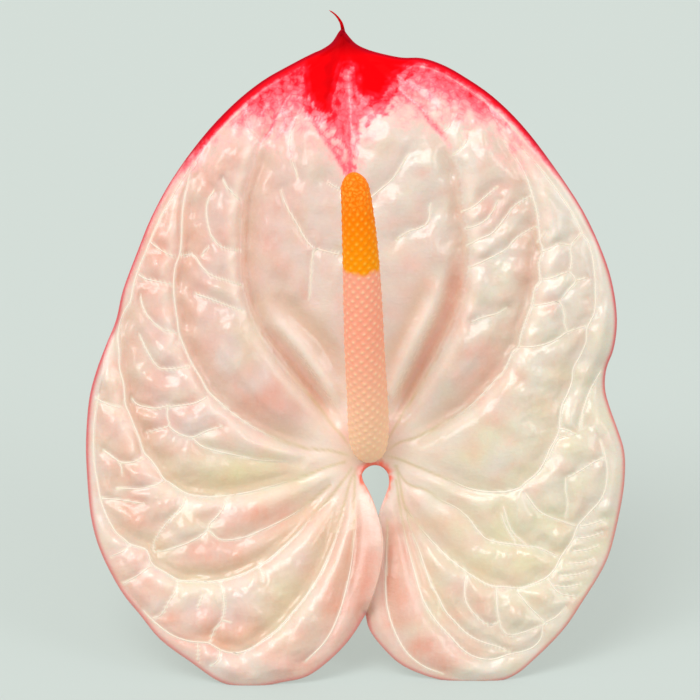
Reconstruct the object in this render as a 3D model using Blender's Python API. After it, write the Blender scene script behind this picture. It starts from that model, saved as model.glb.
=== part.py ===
"""A cut anthurium flower lying on a surface: the heart-shaped spathe, its spadix and the flower stalk.

The spathe stands on the rims of its two lobes and leans back, and the stalk behind it comes down to
the surface and lies along it. Lengths are in metres. The bloom is drawn in its own face frame: x to
the right, y up the blade from the top of the notch to the tip, z out of the glossy front.
"""

import math

import bmesh
import bpy
import numpy as np
from mathutils import Euler, Matrix, Vector
from mathutils.geometry import delaunay_2d_cdt

MM = 0.001

# Driving dimensions
LEAN_BACK = math.radians(22)
BLADE_THICKNESS = 0.95 * MM
LOBE_PRESS = 0.28 * MM
SEAT_GAP = 0.3 * MM
STALK_LENGTH = 300 * MM
STALK_RADIUS_TOP = 2.8 * MM
STALK_RADIUS_CUT = 3.4 * MM
STALK_RADIUS_COLLAR = 3.2 * MM
STALK_SIDES = 16
STALK_LEAVES_BLADE = 58 * MM
STALK_TOUCHES_DOWN = (135 * MM, 215 * MM)
CUT_SLANT = math.radians(35)
SPADIX_RADIUS = 4.1 * MM
SPADIX_TAPER = (2.1 * MM, 11 * MM)
SPADIX_DOME = 6 * MM
SPADIX_FOOT = (0.6, 3.5 * MM)
FLORETS_AROUND = 12
FLORET_HALF_PITCH = 1.0 * MM
FLORET_HEIGHT = 0.38 * MM
MESH_SPACING = 2.9 * MM

# Where the stalk and the spadix meet the blade, in the face frame, and the flat seat round it
JUNCTION = (-0.6 * MM, 3.4 * MM)
SEAT_FADE = (4.5 * MM, 13 * MM)

# The large form of the blade
DISH_HEIGHT, DISH_RADIUS = 4.0 * MM, 20 * MM
RIM_ROLL, RIM_ROLL_WIDTH = 2.6 * MM, 5 * MM
TIP_DROOP, TIP_DROOP_RUN = 6.5 * MM, (58 * MM, 90 * MM)
LOBE_RISE, LOBE_RISE_RUN = 3.0 * MM, (8 * MM, 42 * MM)
LAP, LAP_RUN = 1.0 * MM, (5 * MM, 11 * MM)
BAY, BAY_DEPTH, BAY_RADIUS = (46.6 * MM, 15.6 * MM), 2.2 * MM, 7 * MM
STEP_FLANK_INNER, STEP_FLANK_OUTER = 3.6 * MM, 1.5 * MM
OPENING_SHIFT = 4 * MM

# The rim of the spathe from its tip down the left side to the inner end of the left lobe, in mm
LEFT_RIM = [
    (-6.6, 87.0), (-8.0, 84.9), (-10.0, 83.5), (-12.0, 82.6), (-16.0, 80.5),
    (-22.0, 77.0), (-28.0, 72.0), (-34.0, 65.4), (-40.0, 57.0), (-44.0, 49.6), (-46.6, 43.2),
    (-49.6, 35.2), (-51.0, 29.2), (-53.0, 24.2), (-55.0, 18.8), (-56.4, 13.2), (-57.0, 5.2),
    (-56.8, -1.8), (-56.0, -10.0), (-54.0, -17.0), (-50.0, -24.6), (-46.0, -29.6), (-42.0, -34.4),
    (-36.0, -38.8), (-30.0, -42.8), (-24.0, -43.8), (-18.0, -42.8), (-13.0, -41.6), (-8.4, -38.3),
    (-4.4, -34.1), (-1.3, -29.2),
]
# The same on the right, with the shallow bay half way down that side
RIGHT_RIM = [
    (-5.3, 86.9), (-4.6, 86.0), (-3.2, 84.6), (-1.0, 83.5), (2.0, 82.6), (6.0, 81.8),
    (10.0, 81.7), (14.0, 80.4), (18.0, 78.2), (24.0, 74.0), (30.0, 68.0), (36.0, 60.1),
    (42.0, 51.0), (46.0, 42.4), (48.0, 35.8), (48.8, 29.2), (48.2, 23.6), (46.8, 19.6),
    (46.5, 15.6), (47.4, 11.8), (49.0, 7.2), (50.2, 3.2), (50.4, -1.2), (49.8, -6.8),
    (48.0, -15.2), (46.0, -20.4), (42.0, -26.8), (38.0, -32.6), (32.0, -38.6), (28.2, -41.6),
    (24.0, -42.9), (18.0, -43.0), (12.0, -42.0), (6.0, -39.5), (2.0, -35.8), (-0.4, -32.5),
    (-1.2, -29.4),
]
# The two edges of the drawn-out point at the top, from its end down, in mm
POINT_LEFT = [(-8.7, 91.1), (-7.4, 89.8), (-6.7, 88.9), (-6.5, 87.9)]
POINT_RIGHT = [(-8.5, 91.4), (-6.9, 90.2), (-6.0, 89.2), (-5.6, 88.0)]
# The edges of the notch, from the stalk down: the left lobe laps over the right one
LEFT_NOTCH = [
    (-2.2, -1.8), (-1.8, -3.2), (-0.8, -5.0), (0.2, -7.2), (1.2, -10.2), (1.9, -12.8),
    (2.2, -15.4), (2.0, -18.4), (1.4, -21.4), (0.2, -25.4), (-1.3, -29.2),
]
RIGHT_NOTCH = [
    (3.5, -2.2), (3.5, -3.8), (2.6, -6.4), (1.9, -8.2), (1.3, -10.2), (0.4, -12.8),
    (-0.6, -16.2), (-1.3, -19.8), (-1.6, -23.4), (-1.6, -26.8), (-1.2, -29.4),
]
NOTCH_TOP_CENTRE = (0.6, -2.6)
NOTCH_TOP_RADIUS = 2.9

MIDRIB = [(-0.8, 9.0), (-1.6, 23.2), (-2.6, 41.2), (-3.6, 58.8), (-4.2, 73.2), (-5.4, 85.4)]

# Main veins from the base outwards, in mm, each with the depth of the step that it lies in
LEFT_VEINS = [
    (3.0, [(-3.6, 2.2), (-9, 9), (-15, 16.4), (-20.8, 24.8), (-24, 31.6), (-25.4, 39.2),
           (-25.6, 48.2), (-24.4, 56.2), (-21.6, 64.6), (-18.2, 71.2), (-15.2, 76.4)]),
    (1.9, [(-5, 2.8), (-12, 3.4), (-20, 5.6), (-27, 10.2), (-32, 15.6), (-35.6, 21.6),
           (-38, 26.6), (-38.8, 32.2), (-39.2, 36.2), (-38.2, 42.2), (-37.8, 48.2),
           (-37.2, 53.8), (-35.6, 58.6), (-31.4, 65.8), (-26, 72.6), (-19.4, 77.2)]),
    (1.7, [(-4.4, 1.6), (-10, -0.8), (-18, -3.8), (-26, -5.6), (-33, -6.2), (-36.6, -5.4),
           (-40.8, -2.6), (-44, 1.4), (-46, 5.2), (-47.8, 9.8), (-48.8, 13.8), (-49.8, 19.2),
           (-50.2, 24.6), (-48.8, 30), (-47.2, 33.8), (-44.8, 39.6), (-42.2, 45.6), (-38, 53)]),
    (1.7, [(-4, 0.4), (-7, -3.2), (-10.4, -7.8), (-16, -13.4), (-21.6, -17.4), (-27.6, -21),
           (-33, -22.2), (-38, -22.8), (-43.6, -19.4), (-48, -15.4), (-51.4, -12),
           (-53.4, -7.8), (-54.2, -3.8), (-54.6, 2.2), (-54.2, 8.2), (-53.2, 13.8)]),
    (1.5, [(-3.6, -0.8), (-4.8, -5.8), (-7, -12.4), (-9.6, -18.4), (-12.4, -24), (-15.4, -29),
           (-18.8, -33.2), (-22.4, -36), (-26, -37.2), (-29.6, -36.4), (-32, -34.8),
           (-36.4, -34.4), (-41.4, -31.2), (-46, -26.6)]),
    (0.7, [(-3, -3.4), (-3, -6.8), (-3.2, -14.8), (-4.2, -21.8), (-5.8, -27.6), (-8.4, -32.8),
           (-12, -37.2), (-16.4, -40.4)]),
]
RIGHT_VEINS = [
    (3.0, [(2.8, 3.6), (5.6, 9), (9, 13.6), (12.4, 18.6), (15.4, 24.2), (17.8, 30),
           (19.2, 35.6), (19.6, 40.8), (19, 46.8), (18.2, 53.2), (17.4, 59.2), (15.4, 64.6),
           (12.8, 68.8), (10.2, 72.4), (7, 76.2)]),
    (1.9, [(3.6, 2.8), (9, 4.6), (15.6, 8.4), (21, 13.6), (25.4, 19.2), (29.2, 24),
           (30.8, 29.2), (32.2, 33.6), (33.8, 37.6), (34, 43.2), (33.6, 48.8), (32.2, 55.2),
           (29.8, 60.2), (26.8, 65.2), (24, 69.4), (19.6, 73.6), (14, 77.2)]),
    (1.6, [(4.2, 1.8), (10, -0.4), (17, -3.8), (24, -5.2), (29.6, -4.8), (33, -0.6), (35.6, 3),
           (37.6, 7.6), (38.2, 12.2), (40, 17), (41.2, 21.2), (43, 24.8), (43.8, 28.4),
           (45, 32.6), (44.8, 38.2), (43.2, 43.2), (40.8, 47.6), (37.6, 52)]),
    (0.8, [(6.4, -1.2), (8.8, -3.2), (14, -6.4), (19.6, -10.2), (23.6, -13.6), (26, -15.2)]),
    (1.5, [(5, -2.4), (6.8, -7.8), (10, -11), (14, -16.2), (18.4, -20.8), (24, -24),
           (30, -24.2), (35, -22.2), (37.4, -18.8), (40.4, -15.4), (41.4, -12.2), (45, -8.4),
           (46.8, -4.4), (47.2, -0.4), (46.6, 5.6), (45.2, 10.2)]),
    (1.4, [(4.6, -5), (5.6, -9.2), (7.4, -16.4), (9.4, -22.2), (11.6, -27.6), (14.2, -31.8),
           (17.6, -35.4), (21.6, -37.8), (26, -37.8), (30, -36.2), (34, -33.4), (38.4, -27.4)]),
    (0.6, [(3.8, -10.8), (3.2, -18.8), (3.4, -25.2), (4.6, -30.4), (7, -35.2), (10.8, -38.8),
           (15, -40.6)]),
]
# Cross veins that divide the blade into raised cells, in mm
LEFT_NET = [
    [(-25.6, 44.2), (-29.6, 45.2), (-32.2, 48.2), (-32.6, 51.2), (-31.6, 54.8)],
    [(-25.6, 36.8), (-30.2, 37.8), (-33.4, 39.6), (-36.2, 42.2)],
    [(-38.6, 41.8), (-42, 43.4)],
    [(-39.2, 36.2), (-43.4, 36.8), (-46, 37.6)],
    [(-38.2, 26.4), (-41.4, 27.4), (-44.2, 30.4), (-45.6, 33)],
    [(-35.4, 20), (-40.2, 19.4), (-43.4, 20.8), (-45.6, 24.4)],
    [(-32.8, 13.2), (-37.6, 12), (-41.4, 12), (-46.4, 13.4)],
    [(-40.2, 11.8), (-39, 7.6), (-36.6, 6.4), (-29, 8.6)],
    [(-45.6, 2.4), (-49.6, 1), (-52.6, 2.8)],
    [(-41.2, -3), (-45, -4.6), (-49, -4.8), (-52.6, -4)],
    [(-36.6, -6.4), (-38.6, -9.8), (-42.6, -13.8), (-44.2, -17.2)],
    [(-38, -22.8), (-39.6, -26.4), (-41.8, -29.4)],
    [(-43.6, -19.4), (-46.8, -22), (-49.4, -23.4)],
    [(-29.6, -22.6), (-29, -27.4), (-30.6, -31.8), (-31.6, -34.6)],
    [(-11.6, 43.2), (-14, 48.8), (-16.2, 53.2), (-15.8, 58)],
    [(-11.6, 43.2), (-11.6, 37.2), (-10.8, 33)],
    [(-11.4, 43.2), (-6.4, 42.4)],
]
RIGHT_NET = [
    [(1.2, 54.2), (5.6, 57.8), (8, 62.4), (7.2, 66.8), (3, 71)],
    [(18.8, 51), (22.6, 53), (25.4, 56)],
    [(19.4, 47.2), (23.4, 49.4), (25.4, 53)],
    [(19.8, 44.2), (24.2, 46.2), (28, 50.4), (32, 54.2)],
    [(20, 39.6), (25, 42), (29.4, 45), (33.4, 48)],
    [(34.2, 43.2), (38, 44.4), (40.2, 44.4), (42.2, 45.8)],
    [(33.8, 37.2), (37.6, 38), (40, 39), (40.2, 43.8)],
    [(32.2, 32.2), (37.6, 32.8), (40.6, 35.8), (42.4, 38)],
    [(29.6, 23.8), (34.8, 24), (39.4, 26.8), (43, 27.4)],
    [(37.8, 7.4), (42.2, 7), (44.6, 10.6), (45.2, 15)],
    [(36.4, -0.4), (39, -2.6), (42.8, -0.8), (46.8, 1)],
    [(39, -2.8), (39.2, -10.6)],
    [(30.6, -5.4), (33.4, -9), (37.4, -10.8), (40.8, -12)],
    [(26.2, -8), (27.8, -12.8), (31, -15.8), (37.6, -17.8)],
    [(24.8, -24.4), (25.2, -30.2), (27.4, -33.6), (34.6, -31.4)],
    [(28.8, -24.8), (31.4, -28), (34.6, -31.2)],
    [(35, -22.4), (37.2, -25.2), (41, -26)],
    [(18.6, -21.4), (18.8, -27.2), (22.8, -31.4), (25.2, -31)],
]
CELL_HEIGHT = 0.95 * MM
CELL_FLANK = 2.2 * MM

# Crests of the two folds beside the spadix, in mm, with their height and half width
FOLDS = [
    (1.9 * MM, 2.1 * MM, [(-21, 32.2), (-17, 29.2), (-14, 26.2), (-10.6, 22.4), (-7.6, 18), (-5.4, 12.6)]),
    (1.7 * MM, 2.1 * MM, [(15.2, 44), (12, 33.2), (10, 28.2), (8, 24.2), (6.4, 20), (4.6, 13.4)]),
]

# Centre line of the spadix in the face frame, in mm, from its seat on the blade to its tip
SPADIX_LINE = [
    (-0.6, 3.4, 0.3), (-0.6, 4.2, 3.2), (-0.7, 6.6, 6.4), (-0.9, 12.6, 11.2), (-1.5, 22.4, 17.2),
    (-1.9, 32.4, 22.2), (-2.4, 42.4, 26.6), (-3.1, 51.6, 29.9), (-3.9, 57.6, 31.6),
]
# Looks
CREAM = (0.86, 0.68, 0.55, 1)
RED = (0.80, 0.01, 0.03, 1)
SALMON = (0.95, 0.42, 0.27, 1)
ORANGE = (0.98, 0.26, 0.01, 1)
STALK_GREEN = (0.30, 0.36, 0.10, 1)
RED_ABOVE = 71 * MM
ORANGE_LENGTH = 22 * MM


def clear_scene():
    """Removes everything in the scene."""
    for thing in list(bpy.data.objects):
        bpy.data.objects.remove(thing)


def material(name, colour, roughness):
    """A Principled material of one colour."""
    made = bpy.data.materials.new(name)
    made.use_nodes = True
    shader = made.node_tree.nodes["Principled BSDF"]
    shader.inputs["Base Color"].default_value = colour
    shader.inputs["Roughness"].default_value = roughness
    shader.inputs["Metallic"].default_value = 0.0
    return made


def smoothstep(low, high, value):
    """0 below low, 1 above high, and a smooth rise between them."""
    share = np.clip((value - low) / (high - low), 0, 1)
    return share * share * (3 - 2 * share)


def spline(points, steps=8):
    """A Catmull-Rom curve through the points, as an array with some steps between each two."""
    knots = np.asarray(points, float)
    padded = np.vstack([2 * knots[0] - knots[1], knots, 2 * knots[-1] - knots[-2]])
    share = np.linspace(0, 1, steps, endpoint=False)[:, None]
    runs = []
    for a, b, c, d in zip(padded, padded[1:], padded[2:], padded[3:]):
        runs.append(0.5 * (2 * b + (c - a) * share + (2 * a - 5 * b + 4 * c - d) * share**2
                           + (3 * b - 3 * c + d - a) * share**3))
    runs.append(knots[-1:])
    return np.vstack(runs)


def resample(curve, count):
    """The curve at count points, evenly spaced along its length."""
    lengths = np.concatenate([[0], np.cumsum(np.linalg.norm(np.diff(curve, axis=0), axis=1))])
    wanted = np.linspace(0, lengths[-1], count)
    return np.stack([np.interp(wanted, lengths, column) for column in curve.T], axis=1)


def spaced(points, spacing):
    """A spline through points given in mm, in metres, with about that spacing."""
    curve = spline(points) * MM
    length = np.linalg.norm(np.diff(curve, axis=0), axis=1).sum()
    return resample(curve, max(2, round(length / spacing) + 1))


def nearest_on(curve, spots):
    """Distance from each spot to the curve, its sign (1 on the left), and how far along it lies."""
    start, step = curve[:-1], np.diff(curve, axis=0)
    away = spots[:, None, :] - start[None]
    share = np.clip((away * step).sum(2) / (step**2).sum(1), 0, 1)
    gap = np.linalg.norm(away - share[..., None] * step, axis=2)
    best = gap.argmin(1)
    rows = np.arange(len(spots))
    cross = step[best, 0] * away[rows, best, 1] - step[best, 1] * away[rows, best, 0]
    along = (best + share[rows, best]) / len(step)
    return gap[rows, best], np.sign(cross), along


def notch_top(spacing):
    """The arc over the top of the notch, from its left end to its right end."""
    cx, cy = NOTCH_TOP_CENTRE
    left = math.atan2(LEFT_NOTCH[0][1] - cy, LEFT_NOTCH[0][0] - cx)
    right = math.atan2(RIGHT_NOTCH[0][1] - cy, RIGHT_NOTCH[0][0] - cx)
    turn = np.linspace(left, right, max(6, round((left - right) * NOTCH_TOP_RADIUS * MM / spacing)))
    arc = np.stack([cx + NOTCH_TOP_RADIUS * np.cos(turn), cy + NOTCH_TOP_RADIUS * np.sin(turn)], axis=1)
    arc[0], arc[-1] = LEFT_NOTCH[0], RIGHT_NOTCH[0]
    return arc * MM


def opened(spots, side):
    """Draws the lapping lobes apart sideways, so that the blade can be cut into triangles flat."""
    return np.stack([spots[:, 0] + side * opening_shift(spots[:, 1]), spots[:, 1]], axis=1)


def opening_shift(y):
    """How far each lobe is drawn aside at the height y."""
    return OPENING_SHIFT * smoothstep(0, 10 * MM, -y)


def all_lines():
    """Every vein of the blade as (side, step depth or None, curve). Side 0 is the midrib."""
    lines = [(0, None, spline(MIDRIB) * MM)]
    for side, veins, net in ((-1, LEFT_VEINS, LEFT_NET), (1, RIGHT_VEINS, RIGHT_NET)):
        lines += [(side, depth * MM, spline(points) * MM) for depth, points in veins]
        lines += [(side, None, spline(points) * MM) for points in net]
    return lines


def blade_depth(spots, side):
    """How far the blade's front stands out at each spot of the face frame.

    It is the sum of a shallow dish with a rolled rim, a step along each main vein that falls gently
    from the midrib's side and rises sharply towards the rim, the two folds beside the spadix, and
    cells that swell between the veins. All of it fades out at the stalk, where the blade is flat.
    """
    x, y = spots[:, 0], spots[:, 1]
    from_stalk = np.hypot(x - JUNCTION[0], y - JUNCTION[1])
    calm = smoothstep(*SEAT_FADE, from_stalk)
    rim = np.vstack([spline(LEFT_RIM)[::-1], spline(RIGHT_RIM)]) * MM
    to_rim = nearest_on(rim, spots)[0]

    depth = DISH_HEIGHT * (1 - np.exp(-((from_stalk / DISH_RADIUS) ** 2)))
    depth -= RIM_ROLL * np.exp(-to_rim / RIM_ROLL_WIDTH) * smoothstep(10 * MM, 25 * MM, from_stalk)
    depth -= TIP_DROOP * smoothstep(*TIP_DROOP_RUN, y)
    depth += LOBE_RISE * smoothstep(*LOBE_RISE_RUN, -y)
    depth -= side * LAP * smoothstep(*LAP_RUN, -y)
    depth -= BAY_DEPTH * np.exp(-((np.hypot(x - BAY[0], y - BAY[1]) / BAY_RADIUS) ** 2))

    to_line = np.full(len(spots), np.inf)
    for line_side, step, curve in all_lines():
        reach = (line_side == 0) | (y > 0) | (line_side == side)
        gap, sign, along = nearest_on(curve, spots)
        gap = np.where(reach, gap, np.inf)
        to_line = np.minimum(to_line, gap)
        if step is None:
            continue
        towards_midrib = sign * line_side > 0
        flank = np.where(towards_midrib, STEP_FLANK_INNER, STEP_FLANK_OUTER)
        ends = smoothstep(0, 0.12, along) * (1 - 0.75 * smoothstep(0.55, 1, along))
        depth -= step * ends * np.exp(-gap / flank) * calm
    for height, half_width, crest in FOLDS:
        gap, _, along = nearest_on(spline(crest) * MM, spots)
        depth += height * np.exp(-((gap / half_width) ** 2)) * calm
    swell = 1 - np.exp(-to_line / CELL_FLANK)
    depth += CELL_HEIGHT * swell * calm * smoothstep(0, 3 * MM, to_rim)
    return depth


def blade_triangles():
    """The blade in the face frame, cut flat into triangles whose edges follow the rim and the veins."""
    left_rim = np.vstack([np.array(POINT_LEFT) * MM, spaced(LEFT_RIM, MESH_SPACING)])
    right_rim = np.vstack([np.array(POINT_RIGHT) * MM, spaced(RIGHT_RIM, MESH_SPACING)])
    left_notch = spaced(LEFT_NOTCH, 0.7 * MESH_SPACING)
    right_notch = spaced(RIGHT_NOTCH, 0.7 * MESH_SPACING)
    top = notch_top(0.35 * MESH_SPACING)
    left = opened(np.vstack([left_rim, left_notch[::-1][1:]]), -1)
    right = opened(np.vstack([right_notch, right_rim[::-1][1:]]), 1)
    loop = np.vstack([left, top[1:-1], right])
    spots = [loop]
    edges = [(i, (i + 1) % len(loop)) for i in range(len(loop))]
    total = len(loop)
    closed_rim = np.vstack([loop, loop[:1]])

    for side, step, curve in all_lines():
        length = np.linalg.norm(np.diff(curve, axis=0), axis=1).sum()
        run = opened(resample(curve, max(2, round(length / MESH_SPACING) + 1)), side)
        run = run[nearest_on(closed_rim, run)[0] > 0.45 * MESH_SPACING]
        if step is None:
            run = run[nearest_spot(np.vstack(spots), run) > 0.75 * MESH_SPACING]
        spots.append(run)
        edges += [(total + i, total + i + 1) for i in range(len(run) - 1)]
        total += len(run)
        if step is not None and step > MM:
            beside = brow(run, side)
            others = np.vstack(spots)
            clear = nearest_spot(others, beside) > 0.35 * MESH_SPACING
            beside = beside[clear & (nearest_on(closed_rim, beside)[0] > 0.4 * MESH_SPACING)]
            spots.append(beside)
            total += len(beside)

    fixed = np.vstack(spots)
    low, high = loop.min(0), loop.max(0)
    columns = np.arange(low[0], high[0], MESH_SPACING)
    rows = np.arange(low[1], high[1], MESH_SPACING * math.sqrt(3) / 2)
    gx, gy = np.meshgrid(columns, rows)
    gx[1::2] += MESH_SPACING / 2
    field = np.stack([gx.ravel(), gy.ravel()], axis=1)
    keep = (nearest_spot(fixed, field) > 0.62 * MESH_SPACING) & inside(loop, field)
    field = field[keep]
    field = field[nearest_on(closed_rim, field)[0] > 0.55 * MESH_SPACING]
    flat = np.vstack([fixed, field])

    # The triangles are worked out in mm, where the tool's tolerance is a small share of an edge.
    made = delaunay_2d_cdt([Vector(p) for p in flat / MM], edges, [], 1, 0.05)
    corners = np.array([tuple(p) for p in made[0]]) * MM
    faces = np.array([list(face) for face in made[2]])
    side = np.where(corners[:, 0] > NOTCH_TOP_CENTRE[0] * MM, 1, -1)
    corners[:, 0] -= side * opening_shift(corners[:, 1])
    return corners, faces, side


def brow(run, side):
    """Points on the rim's side of a vein, at the top of its steep flank."""
    along = np.gradient(run, axis=0)
    along /= np.linalg.norm(along, axis=1)[:, None] + 1e-12
    outward = np.stack([along[:, 1], -along[:, 0]], axis=1) * side
    return run + outward * 0.55 * MESH_SPACING


def nearest_spot(others, spots):
    """Distance from each spot to the closest of the others."""
    return np.concatenate([
        np.linalg.norm(block[:, None] - others[None], axis=2).min(1)
        for block in np.array_split(spots, max(1, len(spots) // 400))
    ])


def inside(loop, spots):
    """Whether each spot lies inside the closed loop, by counting how often a ray crosses it."""
    x, y = spots[:, 0][:, None], spots[:, 1][:, None]
    ax, ay = loop[:, 0], loop[:, 1]
    bx, by = np.roll(ax, -1), np.roll(ay, -1)
    crosses = (ay > y) != (by > y)
    reach = ax + (y - ay) * (bx - ax) / np.where(by == ay, 1e-12, by - ay)
    return (crosses & (x < reach)).sum(1) % 2 == 1


def object_from(name, points, faces, materials):
    """An object with this mesh and these materials."""
    mesh = bpy.data.meshes.new(name)
    mesh.from_pydata([tuple(p) for p in points], [], [tuple(int(i) for i in f) for f in faces])
    for each in materials:
        mesh.materials.append(each)
    made = bpy.data.objects.new(name, mesh)
    bpy.context.scene.collection.objects.link(made)
    return made


def tube(centres, radii, sides):
    """Rings of points round a path: ring i has radius radii[i] and stands square to the path."""
    along = np.gradient(centres, axis=0)
    along /= np.linalg.norm(along, axis=1)[:, None]
    across = np.cross(np.cross(along, (1.0, 0.0, 0.0)), along)
    across /= np.linalg.norm(across, axis=1)[:, None]
    other = np.cross(along, across)
    angle = (np.arange(sides) + 0.5) * 2 * math.pi / sides
    ring = np.cos(angle)[None, :, None] * across[:, None] + np.sin(angle)[None, :, None] * other[:, None]
    return centres[:, None] + np.reshape(radii, (len(centres), -1))[..., None] * ring


def tube_faces(rings, sides):
    """Quads between neighbouring rings, and one flat face at each end."""
    faces = []
    for ring in range(rings - 1):
        for i in range(sides):
            a, b = ring * sides + i, ring * sides + (i + 1) % sides
            faces.append((a, b, b + sides, a + sides))
    faces.append(tuple(range(sides))[::-1])
    faces.append(tuple((rings - 1) * sides + i for i in range(sides)))
    return faces


def build_spathe(cream, red):
    """The blade as one closed solid, and the height of the notch's top over the surface it stands on.

    The front sheet is extruded straight back, so front and back run alike and never cross.
    """
    corners, faces, side = blade_triangles()
    spots = np.column_stack([corners, blade_depth(corners, side)])
    height = standing_height(spots)
    spathe = object_from("spathe", spots, faces, [cream, red])
    for face in spathe.data.polygons:
        face.material_index = int(face.center.y > RED_ABOVE)
    shape = bmesh.new()
    shape.from_mesh(spathe.data)
    bmesh.ops.recalc_face_normals(shape, faces=shape.faces)
    grown = bmesh.ops.extrude_face_region(shape, geom=shape.faces[:], use_keep_orig=True)["geom"]
    behind = [corner for corner in grown if isinstance(corner, bmesh.types.BMVert)]
    bmesh.ops.translate(shape, verts=behind, vec=(0, 0, -BLADE_THICKNESS))
    press_flat(shape, height)
    bmesh.ops.triangulate(shape, faces=shape.faces)
    bmesh.ops.recalc_face_normals(shape, faces=shape.faces)
    shape.to_mesh(spathe.data)
    shape.free()
    return spathe, height


def standing_height(spots):
    """Height of the face frame's origin when the rims of both lobes press a little on the surface."""
    reach = spots[:, 1] * math.cos(LEAN_BACK) + spots[:, 2] * math.sin(LEAN_BACK)
    lobes = reach[spots[:, 0] < 0].min(), reach[spots[:, 0] > 0].min()
    return -LOBE_PRESS - max(lobes)


def press_flat(shape, height):
    """Flattens the rims of the lobes where they bear on the surface, by sliding points up the blade."""
    floor = -height / math.cos(LEAN_BACK)
    for corner in shape.verts:
        above = corner.co.y + corner.co.z * math.tan(LEAN_BACK) - floor
        if above < 0:
            corner.co.y -= above


def outward(thing):
    """Turns the faces of a closed mesh outwards."""
    shape = bmesh.new()
    shape.from_mesh(thing.data)
    bmesh.ops.recalc_face_normals(shape, faces=shape.faces)
    shape.to_mesh(thing.data)
    shape.free()


def build_spadix(salmon, orange):
    """The spike: a tapered body whose surface rises to a point at the middle of every floret."""
    line = spline(np.array(SPADIX_LINE) * MM, 12)
    length = np.linalg.norm(np.diff(line, axis=0), axis=1).sum()
    rows = round(length / FLORET_HALF_PITCH)
    line = resample(line, rows + 1)[:-1]
    from_seat = np.arange(rows) * length / rows
    from_tip = length - from_seat
    body = SPADIX_RADIUS - SPADIX_TAPER[0] * np.exp(-from_tip / SPADIX_TAPER[1])
    body *= rounded(from_tip / SPADIX_DOME)
    foot_share, foot_length = SPADIX_FOOT
    body *= foot_share + (1 - foot_share) * rounded(from_seat / foot_length)

    sides = 2 * FLORETS_AROUND
    row, column = np.meshgrid(np.arange(rows), np.arange(sides), indexing="ij")
    peak = (row + column) % 2 == 0
    fade = smoothstep(1.5 * MM, 5 * MM, from_seat) * smoothstep(0, 4 * MM, from_tip)
    radii = body[:, None] + (np.where(peak, 0.7, -0.3) * FLORET_HEIGHT) * fade[:, None]
    rings = tube(line, radii, sides)
    rings[0, :, 2] = SPADIX_LINE[0][2] * MM
    tip = np.array(SPADIX_LINE[-1]) * MM
    points = np.vstack([rings.reshape(-1, 3), tip])

    faces = []
    for ring in range(rows - 1):
        for i in range(sides):
            a, b = ring * sides + i, ring * sides + (i + 1) % sides
            c, d = b + sides, a + sides
            faces += [(a, b, d), (b, c, d)] if peak[ring, i] else [(a, b, c), (a, c, d)]
    last = (rows - 1) * sides
    faces += [(last + i, last + (i + 1) % sides, len(points) - 1) for i in range(sides)]
    faces.append(tuple(range(sides))[::-1])
    spadix = object_from("spadix", points, faces, [salmon, orange])
    outward(spadix)
    for face in spadix.data.polygons:
        reach = (Vector(tip) - face.center).length
        face.material_index = int(reach < ORANGE_LENGTH)
    return spadix


def rounded(share):
    """The height of a quarter circle at this share of its width, and 1 past it."""
    return np.sqrt(1 - (1 - np.minimum(share, 1)) ** 2)


def build_stalk(junction, green):
    """The stalk: square to the blade at its collar, then down to the surface and straight along it."""
    back = Vector((0, math.cos(LEAN_BACK), -math.sin(LEAN_BACK)))
    start = junction + back * (BLADE_THICKNESS + SEAT_GAP)
    lying = STALK_RADIUS_CUT * math.cos(math.pi / STALK_SIDES)
    pull, landing = STALK_TOUCHES_DOWN
    p0, p1 = np.array(start), np.array(start + back * STALK_LEAVES_BLADE)
    p2, p3 = np.array((start.x, pull, lying)), np.array((start.x, landing, lying))
    share = np.linspace(0, 1, 26)[:, None]
    arch = (1 - share) ** 3 * p0 + 3 * (1 - share) ** 2 * share * p1
    arch = arch + 3 * (1 - share) * share**2 * p2 + share**3 * p3
    arch_length = np.linalg.norm(np.diff(arch, axis=0), axis=1).sum()
    cut = landing + STALK_LENGTH - arch_length
    lying_run = np.column_stack([np.full(4, start.x), np.linspace(landing, cut, 5)[1:], np.full(4, lying)])
    path = np.vstack([arch, lying_run])
    done = np.concatenate([[0], np.cumsum(np.linalg.norm(np.diff(path, axis=0), axis=1))])
    radii = STALK_RADIUS_TOP + (STALK_RADIUS_CUT - STALK_RADIUS_TOP) * smoothstep(0, arch_length, done)
    radii += (STALK_RADIUS_COLLAR - STALK_RADIUS_TOP) * np.exp(-done / (4 * MM))
    radii[len(arch) - 1:] = STALK_RADIUS_CUT
    rings = tube(path, radii, STALK_SIDES)
    rings[0] -= ((rings[0] - p0) @ np.array(back))[:, None] * np.array(back)
    rings[-1, :, 1] -= (rings[-1, :, 2] - lying) * math.tan(CUT_SLANT)
    stalk = object_from("stalk", rings.reshape(-1, 3), tube_faces(len(path), STALK_SIDES), [green])
    outward(stalk)
    return stalk


def place_over_origin(root, pieces):
    """Moves the root so that the middle of the underside of the whole flower is the origin."""
    bpy.context.view_layer.update()
    corners = [piece.matrix_world @ v.co for piece in pieces for v in piece.data.vertices]
    low = Vector(map(min, zip(*corners)))
    high = Vector(map(max, zip(*corners)))
    root.location = (-(low.x + high.x) / 2, -(low.y + high.y) / 2, -low.z)


def smooth(piece, sharp_degrees=40):
    """Shades a piece smooth, apart from its sharp edges."""
    piece.data.shade_smooth()
    piece.data.set_sharp_from_angle(angle=math.radians(sharp_degrees))


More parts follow.
